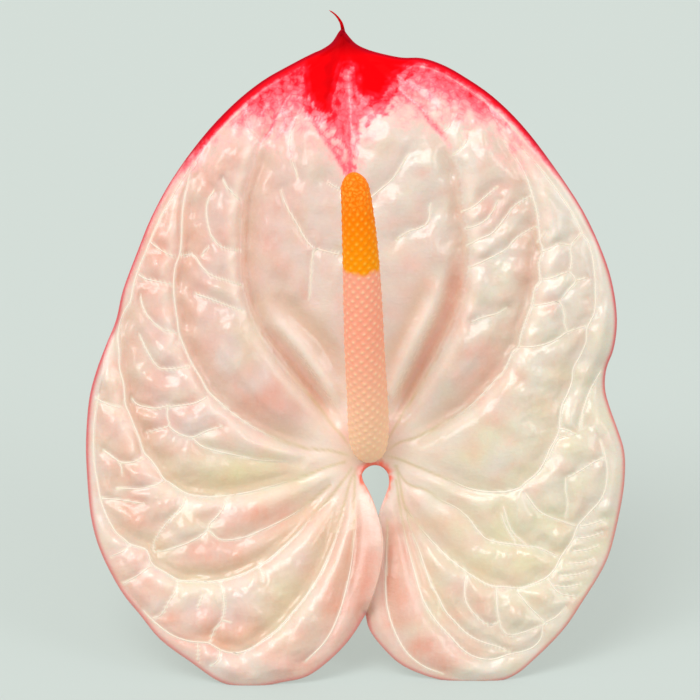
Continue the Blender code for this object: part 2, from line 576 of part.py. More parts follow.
def main():
    clear_scene()
    cream = material("spathe_cream", CREAM, 0.25)
    red = material("spathe_red", RED, 0.25)
    salmon = material("spadix_salmon", SALMON, 0.45)
    orange = material("spadix_orange", ORANGE, 0.4)
    green = material("stalk_green", STALK_GREEN, 0.4)

    spathe, height = build_spathe(cream, red)
    spadix = build_spadix(salmon, orange)
    turn = Matrix.Rotation(math.pi / 2 - LEAN_BACK, 4, "X")
    stalk = build_stalk(turn @ Vector((*JUNCTION, 0)) + Vector((0, 0, height)), green)

    root = bpy.data.objects.new("cut_flower", None)
    head = bpy.data.objects.new("flower_head", None)
    for empty in (root, head):
        bpy.context.scene.collection.objects.link(empty)
    head.parent = stalk.parent = root
    spathe.parent = spadix.parent = head
    head.location = (0, 0, height)
    head.rotation_euler = Euler((math.pi / 2 - LEAN_BACK, 0, 0))
    for piece in (spathe, spadix, stalk):
        smooth(piece)
    place_over_origin(root, [spathe, spadix, stalk])


main()
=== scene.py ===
"""The looks of a cut anthurium flower: its waxy spathe, its spadix and its stalk.

The spathe is drawn in its own face frame, in millimetres: x to the right, y up the blade from the top
of the notch to the tip, and z out of the glossy front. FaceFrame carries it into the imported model's
frame, in metres.
"""

from __future__ import annotations

import enum
import logging
import math
from dataclasses import dataclass, field

import bmesh
import bpy
import numpy as np
from mathutils import Matrix, Vector

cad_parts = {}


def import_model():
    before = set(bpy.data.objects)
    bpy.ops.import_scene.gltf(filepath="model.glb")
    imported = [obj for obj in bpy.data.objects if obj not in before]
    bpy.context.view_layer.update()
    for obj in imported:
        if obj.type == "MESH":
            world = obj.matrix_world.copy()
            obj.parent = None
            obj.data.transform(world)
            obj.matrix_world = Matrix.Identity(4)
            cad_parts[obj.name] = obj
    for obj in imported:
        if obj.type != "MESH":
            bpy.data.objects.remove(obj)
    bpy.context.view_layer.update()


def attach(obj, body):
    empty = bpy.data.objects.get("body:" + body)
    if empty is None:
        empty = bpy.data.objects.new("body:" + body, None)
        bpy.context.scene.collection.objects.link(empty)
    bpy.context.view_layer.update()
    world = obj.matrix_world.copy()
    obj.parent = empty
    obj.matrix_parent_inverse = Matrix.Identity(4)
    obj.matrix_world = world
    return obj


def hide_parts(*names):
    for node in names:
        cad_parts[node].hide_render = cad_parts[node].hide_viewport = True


LOG = logging.getLogger("anthurium")
MM = 0.001
# A distance in mm that stands for out of reach.
OUT_OF_REACH = 20.0
Array = np.ndarray
Line = tuple[tuple[float, ...], ...]
Ovals = tuple[tuple[float, float, float, float, float], ...]
Colour = tuple[float, float, float, float]
Stops = tuple[tuple[float, Colour], ...]


class Side(enum.IntEnum):
    """The half of the blade that something belongs to, seen from the front."""

    LEFT = -1
    MIDDLE = 0
    RIGHT = 1


# The outline of the spathe, in mm: both rims from the tip down, the neck between them at the tip, both
# edges of the notch, and the arc at the notch's top.
LEFT_RIM: Line = (
    (-6.6, 87.0), (-8.0, 84.9), (-10.0, 83.5), (-12.0, 82.6), (-16.0, 80.5), (-22.0, 77.0), (-28.0, 72.0),
    (-34.0, 65.4), (-40.0, 57.0), (-44.0, 49.6), (-46.6, 43.2), (-49.6, 35.2), (-51.0, 29.2), (-53.0, 24.2),
    (-55.0, 18.8), (-56.4, 13.2), (-57.0, 5.2), (-56.8, -1.8), (-56.0, -10.0), (-54.0, -17.0),
    (-50.0, -24.6), (-46.0, -29.6), (-42.0, -34.4), (-36.0, -38.8), (-30.0, -42.8), (-24.0, -43.8),
    (-18.0, -42.8), (-13.0, -41.6), (-8.4, -38.3), (-4.4, -34.1), (-1.3, -29.2),
)
RIGHT_RIM: Line = (
    (-5.3, 86.9), (-4.6, 86.0), (-3.2, 84.6), (-1.0, 83.5), (2.0, 82.6), (6.0, 81.8), (10.0, 81.7),
    (14.0, 80.4), (18.0, 78.2), (24.0, 74.0), (30.0, 68.0), (36.0, 60.1), (42.0, 51.0), (46.0, 42.4),
    (48.0, 35.8), (48.8, 29.2), (48.2, 23.6), (46.8, 19.6), (46.5, 15.6), (47.4, 11.8), (49.0, 7.2),
    (50.2, 3.2), (50.4, -1.2), (49.8, -6.8), (48.0, -15.2), (46.0, -20.4), (42.0, -26.8), (38.0, -32.6),
    (32.0, -38.6), (28.2, -41.6), (24.0, -42.9), (18.0, -43.0), (12.0, -42.0), (6.0, -39.5), (2.0, -35.8),
    (-0.4, -32.5), (-1.2, -29.4),
)
NECK: Line = ((-6.2, 87.5), (-5.95, 87.7), (-5.65, 87.4))
LEFT_NOTCH: Line = (
    (-2.2, -1.8), (-1.8, -3.2), (-0.8, -5.0), (0.2, -7.2), (1.2, -10.2), (1.9, -12.8), (2.2, -15.4),
    (2.0, -18.4), (1.4, -21.4), (0.2, -25.4), (-1.3, -29.2),
)
RIGHT_NOTCH: Line = (
    (3.5, -2.2), (3.5, -3.8), (2.6, -6.4), (1.9, -8.2), (1.3, -10.2), (0.4, -12.8), (-0.6, -16.2),
    (-1.3, -19.8), (-1.6, -23.4), (-1.6, -26.8), (-1.2, -29.4),
)
NOTCH_CENTRE = (0.6, -2.6)
NOTCH_RADIUS = 2.9

# The midrib and the main veins, from the base outwards, in mm. With each main vein on a side comes the
# depth of the step that it lies in.
MIDRIB: Line = (
    (-0.6, 2.2), (-2, 20), (-3.2, 40), (-4.2, 58.8), (-4.3, 63.2), (-4.4, 68.2), (-4.7, 73.2), (-5, 77.6),
    (-5.4, 82.2), (-5.9, 86.4),
)
LEFT_VEINS: tuple[tuple[float, Line], ...] = (
    (2.3, (
        (-4.4, 3.8), (-5.8, 5.8), (-8.4, 8.8), (-11, 12.2), (-14.4, 16.2), (-17.8, 20.2), (-20.4, 23.8),
        (-22.4, 27), (-24, 30.3), (-25, 33.4), (-25.8, 36.6), (-26.1, 41), (-26.1, 45.2), (-25.9, 49.8),
        (-25.6, 53.4), (-24.7, 56.8), (-23.6, 60), (-23, 62.7), (-22, 65.2), (-20.6, 66.5), (-19.5, 69),
        (-18.1, 71.7), (-16.4, 74.5), (-14.6, 77.2), (-11.8, 79.7), (-8.4, 82.8), (-6.8, 85.4),
    )),
    (1.9, (
        (-4.8, 2.2), (-8.4, 3.1), (-12.2, 3.4), (-16, 4.3), (-19.5, 5.7), (-23, 7.4), (-25.8, 9.2),
        (-28.2, 10.9), (-30.6, 13), (-32.7, 15), (-34.1, 17.5), (-35.4, 19.6), (-36.5, 21.6), (-37.7, 24.4),
        (-38.5, 26.5), (-38.9, 29.6), (-39.4, 33), (-39.6, 36), (-39.3, 39.6), (-38.2, 43.2), (-37.9, 49.8),
        (-37.5, 53.4), (-36.8, 56.4), (-36.2, 58.9), (-35.2, 60), (-33.4, 64.6), (-30.4, 69), (-27.2, 71.2),
        (-24.4, 73.6), (-22.2, 75.4), (-18.8, 77.4), (-15.4, 79.3), (-11.4, 81.6),
    )),
    (1.7, (
        (-5.4, 0.8), (-8.4, 0), (-13.6, -2), (-17.4, -3.2), (-22.2, -4.6), (-25.8, -5.4), (-30.6, -6),
        (-33.7, -6), (-36.5, -5.6), (-38.2, -4.8), (-40.5, -3.2), (-41.5, -2.6), (-43, -0.2), (-44.4, 1.6),
        (-45.5, 2.7), (-46.2, 4.8), (-46.6, 6), (-47.6, 8.4), (-48.6, 10.8), (-49.2, 12.2), (-49.4, 14),
        (-49.6, 16.4), (-50.4, 19.6), (-50.5, 22.6), (-50.8, 25.8), (-50.4, 28.6), (-49.4, 31),
        (-48.2, 33), (-47.6, 36.2), (-46.4, 40), (-45, 43.2), (-44.2, 45.2), (-42.4, 49.2), (-39.6, 54.4),
        (-36.4, 59.6), (-33.8, 63.6),
    )),
    (0.7, ((-8.4, -3.8), (-15.4, -9.4), (-22.2, -12.8), (-25.8, -14.2), (-30, -14.6), (-32.4, -12.8))),
    (1.7, (
        (-4, -0.4), (-5.4, -2.4), (-8.4, -6.3), (-10.4, -8.4), (-12.6, -10.8), (-15.4, -14), (-18.8, -17),
        (-21.6, -19.2), (-24.4, -20.8), (-27.2, -21.9), (-29.9, -22.6), (-32.6, -22.9), (-36.2, -22.8),
        (-38.6, -22.6), (-41, -21.2), (-43.8, -19.5), (-44.8, -16.8), (-46.6, -16), (-48.2, -15.5),
        (-49.3, -14.6), (-51, -13.2), (-52.1, -11.5), (-53.3, -9.1), (-54.2, -6.6), (-54.8, -3.2),
        (-55.4, 0.2), (-55.6, 4.3), (-55.4, 9.2), (-54.6, 14),
    )),
    (1.5, (
        (-3.2, -0.8), (-4.4, -3.2), (-6.2, -10.2), (-7.9, -15.8), (-10.4, -21.4), (-13.2, -25.8),
        (-16, -29.2), (-18.8, -32.3), (-21.6, -34.4), (-23.6, -35.8), (-25.8, -36.8), (-27.8, -37),
        (-30.2, -36.4), (-32.4, -35.1), (-34.4, -34.9), (-36.8, -34.6), (-39.6, -33.6), (-42, -32),
        (-44.1, -30.2), (-45.6, -28.6),
    )),
    (0.7, (
        (-3.4, -1.6), (-3.6, -8.8), (-3.7, -15.8), (-4.8, -22.8), (-6.8, -29.8), (-9.4, -34.8),
        (-13.4, -38.8),
    )),
)
RIGHT_VEINS: tuple[tuple[float, Line], ...] = (
    (1.9, (
        (2.6, 3.6), (3.2, 5.2), (4.6, 7.8), (6.6, 11.2), (9, 14.8), (11.2, 18.6), (13.2, 21.8), (15.2, 25.8),
        (16.6, 29.2), (17.8, 32.6), (18.6, 36.6), (19.1, 39.8), (19.3, 43.2), (18.8, 47.1), (18.2, 50.6),
        (17.9, 54), (17.4, 57.8), (16.6, 61), (15.5, 63.8), (13.8, 66.5), (11.4, 69.2), (9.6, 71.7),
        (6.6, 74.2), (3.6, 77.2), (0, 80.6), (-3.4, 84),
    )),
    (1.9, (
        (3.2, 3.2), (5.6, 4.8), (9, 5.8), (12.6, 7.6), (16, 9.6), (18.4, 11), (20.5, 12.8), (22.6, 15),
        (24.6, 17.2), (26.4, 19.3), (28.1, 22.8), (29.2, 23.8), (29.8, 26.6), (31, 30), (31.7, 31.8),
        (32.1, 33.5), (32.5, 35.6), (33.5, 37.2), (33.3, 40.4), (34, 43.2), (33.5, 45), (33.3, 47.7),
        (32.8, 51.2), (31.9, 54.3), (30.9, 57.4), (29.5, 60.2), (28.1, 62.6), (26.6, 64.8), (25.2, 68.2),
        (23.4, 71), (21.4, 73.8), (19.6, 75.2), (16.6, 77.2), (13.8, 79), (10.6, 80.2), (5.6, 80.6),
    )),
    (0.7, (
        (3.4, 2), (5.6, 1.3), (9, -0.1), (12.6, -1.6), (16, -3), (18.4, -4.1), (20.8, -4.8), (23.2, -5.1),
        (26, -5.1), (29.2, -4.4), (30.6, -3.2), (33, -1.2), (34.4, 1), (35.4, 3.4), (36.4, 5.1),
        (37.3, 7.2), (37.5, 10), (38, 12.4), (39, 14.4), (39.9, 16.9), (40.2, 19.6), (41.6, 22.1),
        (42.7, 24.8), (42.8, 27.2), (43.7, 29.2), (44.4, 30.8), (44.6, 33.8), (44.5, 37.2), (44, 41.8),
        (43.2, 44.8), (42.2, 46.2), (40, 50.6), (37.6, 54.2), (34.6, 58.2), (31.6, 61.8), (28.6, 64.8),
    )),
    (0.5, (
        (4.6, 0), (7, -3.4), (10.8, -4.8), (13.6, -6.7), (17, -8.4), (19.4, -10.5), (21.2, -12.9),
        (23.6, -14.8), (30, -15.8), (32.6, -16.1), (35, -17), (37.6, -18.1),
    )),
    (0.7, (
        (4.8, -0.2), (5.6, -3.8), (6.4, -7.6), (9.4, -12), (12.2, -15.2), (15.2, -18.2), (18.8, -21),
        (21.6, -22.8), (23.8, -23.8), (26.8, -24), (29.4, -24.2), (32.4, -23.3), (34.7, -22.2),
        (36.4, -20.5), (37.6, -18.2), (40, -14.6), (41.2, -11.7), (43.6, -9), (45.8, -6.4), (46.8, -3.2),
        (46.8, 0.6), (45.6, 5.2),
    )),
    (0.7, (
        (4.9, 0), (6.4, -7.6), (7.8, -12.8), (9.3, -16.4), (10.5, -19.9), (11.6, -23.2), (13.2, -26),
        (14.6, -28.8), (16.4, -30.8), (18.8, -33.2), (21.6, -34.8), (25.4, -36), (27.2, -37),
    )),
    (0.8, (
        (4.8, -2.8), (6.4, -12.8), (8.4, -20.8), (10.2, -26.6), (12.8, -30.8), (15.5, -33.7), (18.2, -36.6),
        (21, -38.1), (24, -38.4), (27, -37.5), (30.2, -36.8), (32.4, -35.8), (33.8, -34), (34.2, -31.4),
        (36.4, -30.2), (38.6, -28.2),
    )),
    (0.4, (
        (3.2, -10.6), (2.9, -16.4), (2.7, -25.2), (3.8, -31), (6.4, -36.4), (9.9, -39.6), (14, -41.3),
    )),
)

# The side veins that divide the blade into raised cells, in mm.
LEFT_NET: tuple[Line, ...] = (
    ((-44.4, 45), (-43.4, 44), (-41.2, 42.6), (-39.4, 41.8)),
    ((-46.8, 38.4), (-45.2, 37.4), (-42.4, 36.8), (-39.8, 36.2)),
    ((-46.2, 34), (-45.8, 32), (-44.4, 29.6), (-41.8, 27.4), (-38.6, 26.6)),
    ((-48, 13.6), (-47, 12.4), (-45, 11.8), (-42.8, 11.6), (-40.4, 12.2)),
    ((-55.2, 13.6), (-52.8, 12.4), (-50, 11.6)),
    ((-53.6, 3.2), (-51.8, 2), (-50.2, 0.4), (-49.8, -1.6)),
    ((-41.4, -2.8), (-43.4, -3.8), (-46.4, -4.4), (-50.8, -4.4)),
    ((-31.6, 54.8), (-32.8, 52.8), (-33, 50), (-32.2, 46.4), (-30.6, 44.2), (-28.4, 43.2), (-26.2, 43)),
    ((-32.6, 43.8), (-34, 42.2)),
    ((-38.2, 42), (-35.6, 42.2), (-33.8, 39.6), (-31.8, 38), (-28.8, 37), (-25.8, 36)),
    ((-35.2, 34.4), (-32.2, 33.4), (-29.2, 32.2), (-25.8, 31)),
    ((-29.8, 57.2), (-28.6, 55.4), (-26.2, 53)),
    ((-6.6, 42.2), (-8.8, 42.8), (-11.4, 43.2), (-12, 40.8), (-12.2, 37.2), (-12.4, 33.6)),
    ((-11.4, 43.2), (-13.2, 45.2), (-15, 48.4), (-17.2, 52.2), (-18.2, 55.2)),
    ((-9, 56.8), (-7.8, 56), (-6.4, 55.2)),
    ((-24.4, 70.8), (-25.6, 69.6), (-24.4, 67.2), (-22.8, 65.6)),
    ((-20.4, 70.2), (-20, 68.2), (-21.2, 66)),
    ((-13.8, 72.2), (-15.2, 69.2), (-16.4, 65.2), (-16, 61.2), (-14.8, 57.6)),
    ((-46.4, 26.2), (-44.4, 22.2), (-42.4, 19.7), (-39.6, 19.5), (-36.5, 19.9)),
    ((-32.9, 13.7), (-35.4, 12.6), (-38.5, 12.1), (-40.8, 11.9)),
    ((-40.8, 11.9), (-40.8, 9.9), (-40.5, 8.1), (-42.6, 7.4), (-44.9, 6.8)),
    ((-40.5, 8.1), (-39, 6.8), (-36, 5.8), (-32.9, 7.1), (-29.6, 8.1)),
    ((-36, 5.8), (-33.9, 4), (-30.8, 3), (-27, 2.2), (-22.4, 1.2), (-14.4, 0.8)),
    ((-53.5, 3.1), (-50.4, 1), (-48, 0.8), (-45.5, 1.8)),
    ((-54.2, -6.4), (-50, -6.7), (-45.5, -7.4)),
    ((-37.2, -6.3), (-38.2, -8.4), (-40.3, -10.5), (-42.4, -13.2), (-43.4, -15), (-43.6, -16.8)),
    ((-48.3, -15.5), (-49.3, -16.7), (-52.1, -17.9)),
    ((-43.8, -19.5), (-46.6, -21.6), (-48.3, -22.6), (-50.2, -23.8)),
    ((-38.6, -22.7), (-39.1, -24.7), (-40.6, -27.1), (-42, -29.5), (-44, -30.2)),
    ((-30.2, -23), (-29.6, -25.4), (-29.4, -28.2), (-29.9, -30.4), (-31.3, -32.3), (-32.3, -34.9)),
    ((-29.9, -30.4), (-28.2, -30.9)),
    ((-33.7, -25.4), (-34.8, -28.2)),
    ((-29.1, -6.7), (-30.1, -9), (-32.4, -11.5), (-33, -12.9), (-36.2, -15), (-41, -16.7), (-43.4, -17)),
    ((-22.6, -19.5), (-21.9, -21.6), (-21.8, -22.8)),
    ((-34.6, -35), (-34.6, -38.9)),
    ((-30.2, -36.4), (-30.6, -38.4), (-32, -39.6)),
)
RIGHT_NET: tuple[Line, ...] = (
    ((13.8, 66.4), (15.4, 67.8), (16.6, 70.4)),
    ((16.2, 62.2), (17.4, 63), (18.6, 64.6), (19.2, 66.8)),
    ((18, 50.8), (20, 51.6), (22.4, 53.6), (25, 55.8)),
    ((18.6, 47.4), (20.8, 48), (22.8, 49.2), (24, 50.8), (25, 53)),
    ((19, 44), (21.6, 45.4), (23.8, 46.4), (25.8, 48.6), (28.2, 51.8), (31.6, 54)),
    ((19.4, 39.6), (22, 40.8), (24.8, 42.2), (26.8, 43.4), (28.6, 45.4), (31, 47), (33.2, 48)),
    ((19.6, 28.6), (21.6, 29.6), (24.8, 30.4), (26.8, 31.6)),
    ((33.8, 37.2), (36, 37.6), (37.8, 38.4), (39.4, 38.8)),
    ((39.4, 38.8), (39.8, 41.2), (39.6, 43.6), (40.4, 45.2), (41.8, 46.4)),
    ((33.8, 42.8), (35.4, 43.4), (37.2, 44.4), (39.6, 44)),
    ((39.4, 38.8), (40.6, 37), (39.2, 35.2), (37.4, 33)),
    ((42.8, 37.6), (40.6, 37)),
    ((32, 32), (34.6, 32.4), (37.2, 32.8), (38.2, 31), (38.4, 28.6), (39, 26.6)),
    ((29, 23.8), (31.6, 23.8), (34.6, 24.4), (37.2, 25.6), (39, 26.8), (42.6, 28)),
    ((37.2, 7.6), (39, 7.2), (40.6, 6.4)),
    ((45.8, 19), (44, 16), (42.8, 13.2), (42, 10.6), (41.6, 8)),
    ((46.6, 1.8), (44.4, 1), (41.6, -0.8), (38.6, -2.4)),
    ((38.6, -2.4), (38.6, -4.8), (39, -7.2), (38.6, -10)),
    ((25.8, -9.6), (27, -12.6), (28.6, -15)),
    ((11.6, 52.2), (11.2, 48.8), (9.2, 47.4), (7.2, 46.8), (4.8, 45.2)),
    ((-1, 53), (1.2, 54.8), (4, 57.2), (5.6, 59.6), (7.4, 62.4)),
    ((35, 1.2), (36.8, 5.2), (38.8, 6), (40.6, 6.4)),
    ((34.6, 46.8), (33, 44.6)),
    ((30.6, -5.4), (33.4, -9), (37.4, -10.8), (40.8, -12)),
    ((26.2, -8), (27.8, -12.8), (31, -15.8)),
    ((24.8, -24.4), (25.2, -30.2), (27.4, -33.6), (34.6, -31.4)),
    ((28.8, -24.8), (31.4, -28), (34.6, -31.2)),
    ((35, -22.4), (37.2, -25.2), (41, -26)),
    ((18.6, -21.4), (18.8, -27.2), (22.8, -31.4), (25.2, -31)),
    ((41.6, -12), (44, -11.4), (46.4, -10.6)), ((41, -14.4), (43.6, -14), (46, -13.2)),
    ((40, -17), (43, -16.6), (45.4, -15.8)), ((38.8, -19.4), (42, -19.2), (44.4, -18.4)),
    ((37.4, -21.8), (40.8, -21.6), (43.2, -20.8)), ((36.2, -23.8), (39, -24), (41.8, -23.4)),
)

# Crests of the folds: the two beside the spadix, and the two between the first and second veins, in mm.
LEFT_FOLD: Line = (
    (-22, 33.2), (-19.4, 29.8), (-16.6, 26.2), (-13.8, 22.6), (-10.8, 18.6), (-8.4, 14.8), (-6.4, 10.8),
)
RIGHT_FOLD: Line = (
    (14.8, 40.8), (13.2, 35.2), (10.8, 30), (7.8, 24.2), (5.4, 18.8), (3.8, 14.2), (2.8, 10.8),
)
LEFT_BROW: Line = (
    (-34.4, 28.2), (-31.4, 25.2), (-28, 21.6), (-24.4, 16.8), (-22.2, 14), (-20.2, 12), (-17.4, 10.2),
    (-14, 8.4),
)
RIGHT_BROW: Line = (
    (29.8, 42.2), (29.5, 39.4), (28.4, 36.6), (27.4, 34.2), (26, 31.4), (25, 29.4), (21.6, 24.2),
    (18.6, 20.2), (14.6, 16.2), (10.6, 12.6),
)
# The deep hollows inside the first veins, and the shallow ones inside the folds, in mm.
LEFT_HOLLOW: Line = (
    (-22.4, 29.6), (-19.4, 26.6), (-16.4, 23.2), (-12.8, 18.4), (-10, 14.2), (-7.6, 10.4), (-5.4, 6.8),
)
RIGHT_HOLLOW: Line = (
    (16.8, 45.2), (16.8, 40.8), (16, 35.8), (13.8, 29.6), (10.8, 23.4), (8, 18), (5.2, 12.2), (3.2, 7.2),
)
LEFT_VALLEY: Line = ((-18.8, 46.4), (-17.8, 35.2), (-14.4, 30.2), (-9.8, 25.2), (-6.2, 19.2))
RIGHT_VALLEY: Line = ((13.2, 43.2), (10.6, 36.6), (8.2, 29.8), (5, 23.2), (3.8, 17.2))

# The reds of the tip, in mm: the solid red, the wedge below it, the dark streak in it, which is partly
# painted shade, the threads that run down the wedge, and the area where red bleeds into the cream.
SOLID_RED: Line = (
    (-17, 84), (-15.6, 81.4), (-14.6, 80), (-14.1, 75), (-12.4, 71.3), (-9.9, 69.8), (-7.1, 69.4),
    (-7.2, 72.6), (-6.2, 75.6), (-5.4, 79), (-4.4, 79.2), (-3.8, 73.2), (-1.2, 73.2), (2, 71.9),
    (3.5, 74.4), (5.7, 77.8), (10.2, 80.6), (10, 84), (-5, 95),
)
RED_WEDGE: Line = (
    (-14.4, 73.6), (-13.4, 71.8), (-10.8, 69), (-8.4, 66.2), (-5.8, 62.8), (-4.4, 57.4), (-3.6, 62.8),
    (-3.2, 66.8), (-1.2, 68.8), (2.4, 71), (5.6, 75), (0, 80),
)
DARK_STREAK: Line = ((-6.2, 86), (-7.4, 83.4), (-8.4, 80), (-9, 77), (-8.6, 74))
RED_THREADS: tuple[Line, ...] = (
    ((-12.4, 70.2), (-10.8, 67.4), (-7.8, 63.2), (-5.2, 59)),
    ((-4.7, 74), (-4.5, 68), (-4.4, 62), (-4.5, 57.6)),
)
RED_BLEED: Line = (
    (-40, 57), (-34, 61), (-31, 66), (-28, 66.5), (-25.5, 67), (-22, 65.2), (-17.4, 63.2), (-13, 66.5),
    (-8.5, 62.5), (-5.5, 58.5), (-3.5, 58.8), (-2, 64), (1, 67.5), (4, 68.8), (8, 68), (13, 70), (19, 67),
    (24, 63.5), (28, 61), (33, 61), (36, 66), (20, 85), (-6, 96), (-25, 85),
)


def srgb(red: float, green: float, blue: float) -> Colour:
    """Turns a colour given as 0 to 255 display values into a shader colour.

    Args:
        red, green, blue: The display values.

    Returns:
        The linear colour with full alpha, by the power of 2.4 above the straight part near black.
    """
    share = np.array([red, green, blue]) / 255
    linear = np.where(share <= 0.04045, share / 12.92, ((share + 0.055) / 1.055) ** 2.4)
    return (*(float(each) for each in linear), 1.0)


def smoothstep(low: float, high: float, value: Array | float) -> Array:
    """0 below low, 1 above high, and three squares less two cubes of the share between them."""
    share = np.clip((value - low) / (high - low), 0, 1)
    return share * share * (3 - 2 * share)


def bell(distance: Array, width: Array | float) -> Array:
    """One at no distance, falling as exp(-(distance / width) squared)."""
    return np.exp(-((distance / width) ** 2))


def rounded(share: Array) -> Array:
    """The height of a quarter circle at this share of its width, and 1 past it."""
    return np.sqrt(1 - (1 - np.clip(share, 0, 1)) ** 2)


def spline(points: Line | Array, steps: int = 4) -> Array:
    """A curve through all the points.

    Args:
        points: The points that it passes through, of any dimension.
        steps: How many points it has from each of them to the next.

    Returns:
        The points of a smooth curve: between two knots, the cubic whose slope at each knot is half
        the way from the knot before to the knot after.
    """
    knots = np.asarray(points, float)
    padded = np.vstack([2 * knots[0] - knots[1], knots, 2 * knots[-1] - knots[-2]])
    share = np.linspace(0, 1, steps, endpoint=False)[None, :, None]
    a, b, c, d = (padded[i:len(padded) - 3 + i, None] for i in range(4))
    runs = 0.5 * (2 * b + (c - a) * share + (2 * a - 5 * b + 4 * c - d) * share**2
                  + (3 * b - 3 * c + d - a) * share**3)
    return np.vstack([runs.reshape(-1, knots.shape[1]), knots[-1:]])


def lengths_along(curve: Array) -> Array:
    """The length of the curve up to each of its points."""
    return np.concatenate([[0.0], np.cumsum(np.linalg.norm(np.diff(curve, axis=0), axis=1))])


def at_lengths(curve: Array, wanted: Array) -> Array:
    """The points of the curve at these lengths along it."""
    lengths = lengths_along(curve)
    return np.stack([np.interp(wanted, lengths, column) for column in curve.T], axis=1)


def resample(curve: Array, count: int) -> Array:
    """The curve at this many points, evenly spaced along its length."""
    return at_lengths(curve, np.linspace(0, lengths_along(curve)[-1], count))


def nearest_on(curve: Array, spots: Array, reach: float) -> tuple[Array, Array, Array]:
    """Finds the nearest point of a flat curve to each spot.

    Args:
        curve: The curve's points.
        spots: The spots, in the same units.
        reach: Spots further off than this are not measured, and count as this far.

    Returns:
        The distance, the side (1 on the left of the curve's run, -1 on the right, 0 out of reach),
        and the share of the curve's points that is passed at the nearest one.
    """
    gap, side, along = np.full(len(spots), float(reach)), np.zeros(len(spots)), np.zeros(len(spots))
    start, step = curve[:-1], np.diff(curve, axis=0)
    squared = (step**2).sum(1) + 1e-12
    near = ((spots > curve.min(0) - reach) & (spots < curve.max(0) + reach)).all(1)
    for part in np.array_split(np.flatnonzero(near), max(1, int(near.sum()) // 4000)):
        if not len(part):
            continue
        away = spots[part, None] - start[None]
        share = np.clip((away * step).sum(2) / squared, 0, 1)
        found = np.linalg.norm(away - share[..., None] * step, axis=2)
        best, rows = found.argmin(1), np.arange(len(part))
        cross = step[best, 0] * away[rows, best, 1] - step[best, 1] * away[rows, best, 0]
        gap[part] = np.minimum(found[rows, best], reach)
        side[part] = np.sign(cross)
        along[part] = (best + share[rows, best]) / len(step)
    return gap, side, along


def depth_inside(loop: Line, spots: Array, reach: float) -> Array:
    """Measures how deep each spot lies inside a closed shape.

    Args:
        loop: The shape's corners.
        spots: The spots, in the same units.
        reach: Depths are cut off at this.

    Returns:
        The distance to the shape's edge, negative outside. A spot is inside where a level line from it
        crosses the edge an odd number of times.
    """
    corners = np.asarray(loop, float)
    ends = np.roll(corners, -1, axis=0)
    x, y = spots[:, :1], spots[:, 1:2]
    crosses = (corners[:, 1] > y) != (ends[:, 1] > y)
    rise = np.where(ends[:, 1] == corners[:, 1], 1e-9, ends[:, 1] - corners[:, 1])
    meets = corners[:, 0] + (y - corners[:, 1]) * (ends[:, 0] - corners[:, 0]) / rise
    within = (crosses & (x < meets)).sum(1) % 2 == 1
    gap = nearest_on(np.vstack([corners, corners[:1]]), spots, reach)[0]
    return np.where(within, gap, -gap)


def ripple(spots: Array, wavelength: float, seed: int, waves: int = 22) -> Array:
    """A smooth random field with a mean of 0 and a spread of 1.

    Args:
        spots: Where it is wanted.
        wavelength: The usual distance between two crests.
        seed: The seed of its random numbers.
        waves: How many plane waves are added.

    Returns:
        The sum of cosines of waves that run every way, each with its own length and start.
    """
    chance = np.random.default_rng(seed)
    turn, start = chance.uniform(0, 2 * math.pi, (2, waves))
    pace = 2 * math.pi / (wavelength * chance.uniform(0.75, 1.4, waves))
    heading = np.stack([np.cos(turn), np.sin(turn)]) * pace
    return np.cos(spots @ heading + start).sum(1) * math.sqrt(2 / waves)


@dataclass(frozen=True)
class FaceFrame:
    """Carries points from the blade's face frame, in mm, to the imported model's frame, in metres."""

    lean_back: float = math.radians(22)
    origin: tuple[float, float, float] = (3.296, -139.129, 38.317)

    def place(self, points: Array) -> Array:
        """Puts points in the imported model's frame.

        Args:
            points: Points of the face frame, in mm.

        Returns:
            The origin, plus x to the right, plus y along the leaning blade, plus z along its normal.
        """
        up, out = math.cos(self.lean_back), math.sin(self.lean_back)
        turn = np.array([(1.0, 0.0, 0.0), (0.0, out, up), (0.0, -up, out)])
        return (np.asarray(self.origin) + points @ turn) * MM

    @property
    def back(self) -> Array:
        """The direction straight out of the blade's back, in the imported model's frame."""
        return np.array([0.0, math.cos(self.lean_back), -math.sin(self.lean_back)])

    def lift(self, points: Array) -> Array:
        """Slides points that would sink into the surface up the blade until they rest on it.

        Args:
            points: Points of the face frame, in mm.

        Returns:
            The points. A point's height is the cosine of the lean times (y + z tan lean - the y at
            which the face plane meets the surface), so y grows by what that sum is short of 0.
        """
        floor = -self.origin[2] / math.cos(self.lean_back)
        short = np.minimum(points[:, 1] + points[:, 2] * math.tan(self.lean_back) - floor, 0)
        return points - short[:, None] * np.array([0.0, 1.0, 0.0])


FACE = FaceFrame()


def made_mesh(name: str, points: Array, faces: list[Array], values: dict[str, Array] | None = None,
              outward: bool = True) -> bpy.types.Object:
    """Makes a smooth object from whole arrays.

    Args:
        name: The piece's name.
        points: Its vertices, in metres.
        faces: Arrays of faces, each with its own number of corners.
        values: Numbers for each vertex, kept as attributes.
        outward: Whether its faces are turned outwards here.

    Returns:
        The object, linked to the scene.
    """
    mesh = bpy.data.meshes.new(name)
    mesh.from_pydata(points.tolist(), [], [face for group in faces for face in group.tolist()])
    for key, numbers in (values or {}).items():
        mesh.attributes.new(key, "FLOAT", "POINT").data.foreach_set("value", numbers.astype(np.float32))
    if outward:
        shape = bmesh.new()
        shape.from_mesh(mesh)
        bmesh.ops.recalc_face_normals(shape, faces=shape.faces)
        shape.to_mesh(mesh)
        shape.free()
    mesh.shade_smooth()
    made = bpy.data.objects.new(name, mesh)
    bpy.context.scene.collection.objects.link(made)
    return made


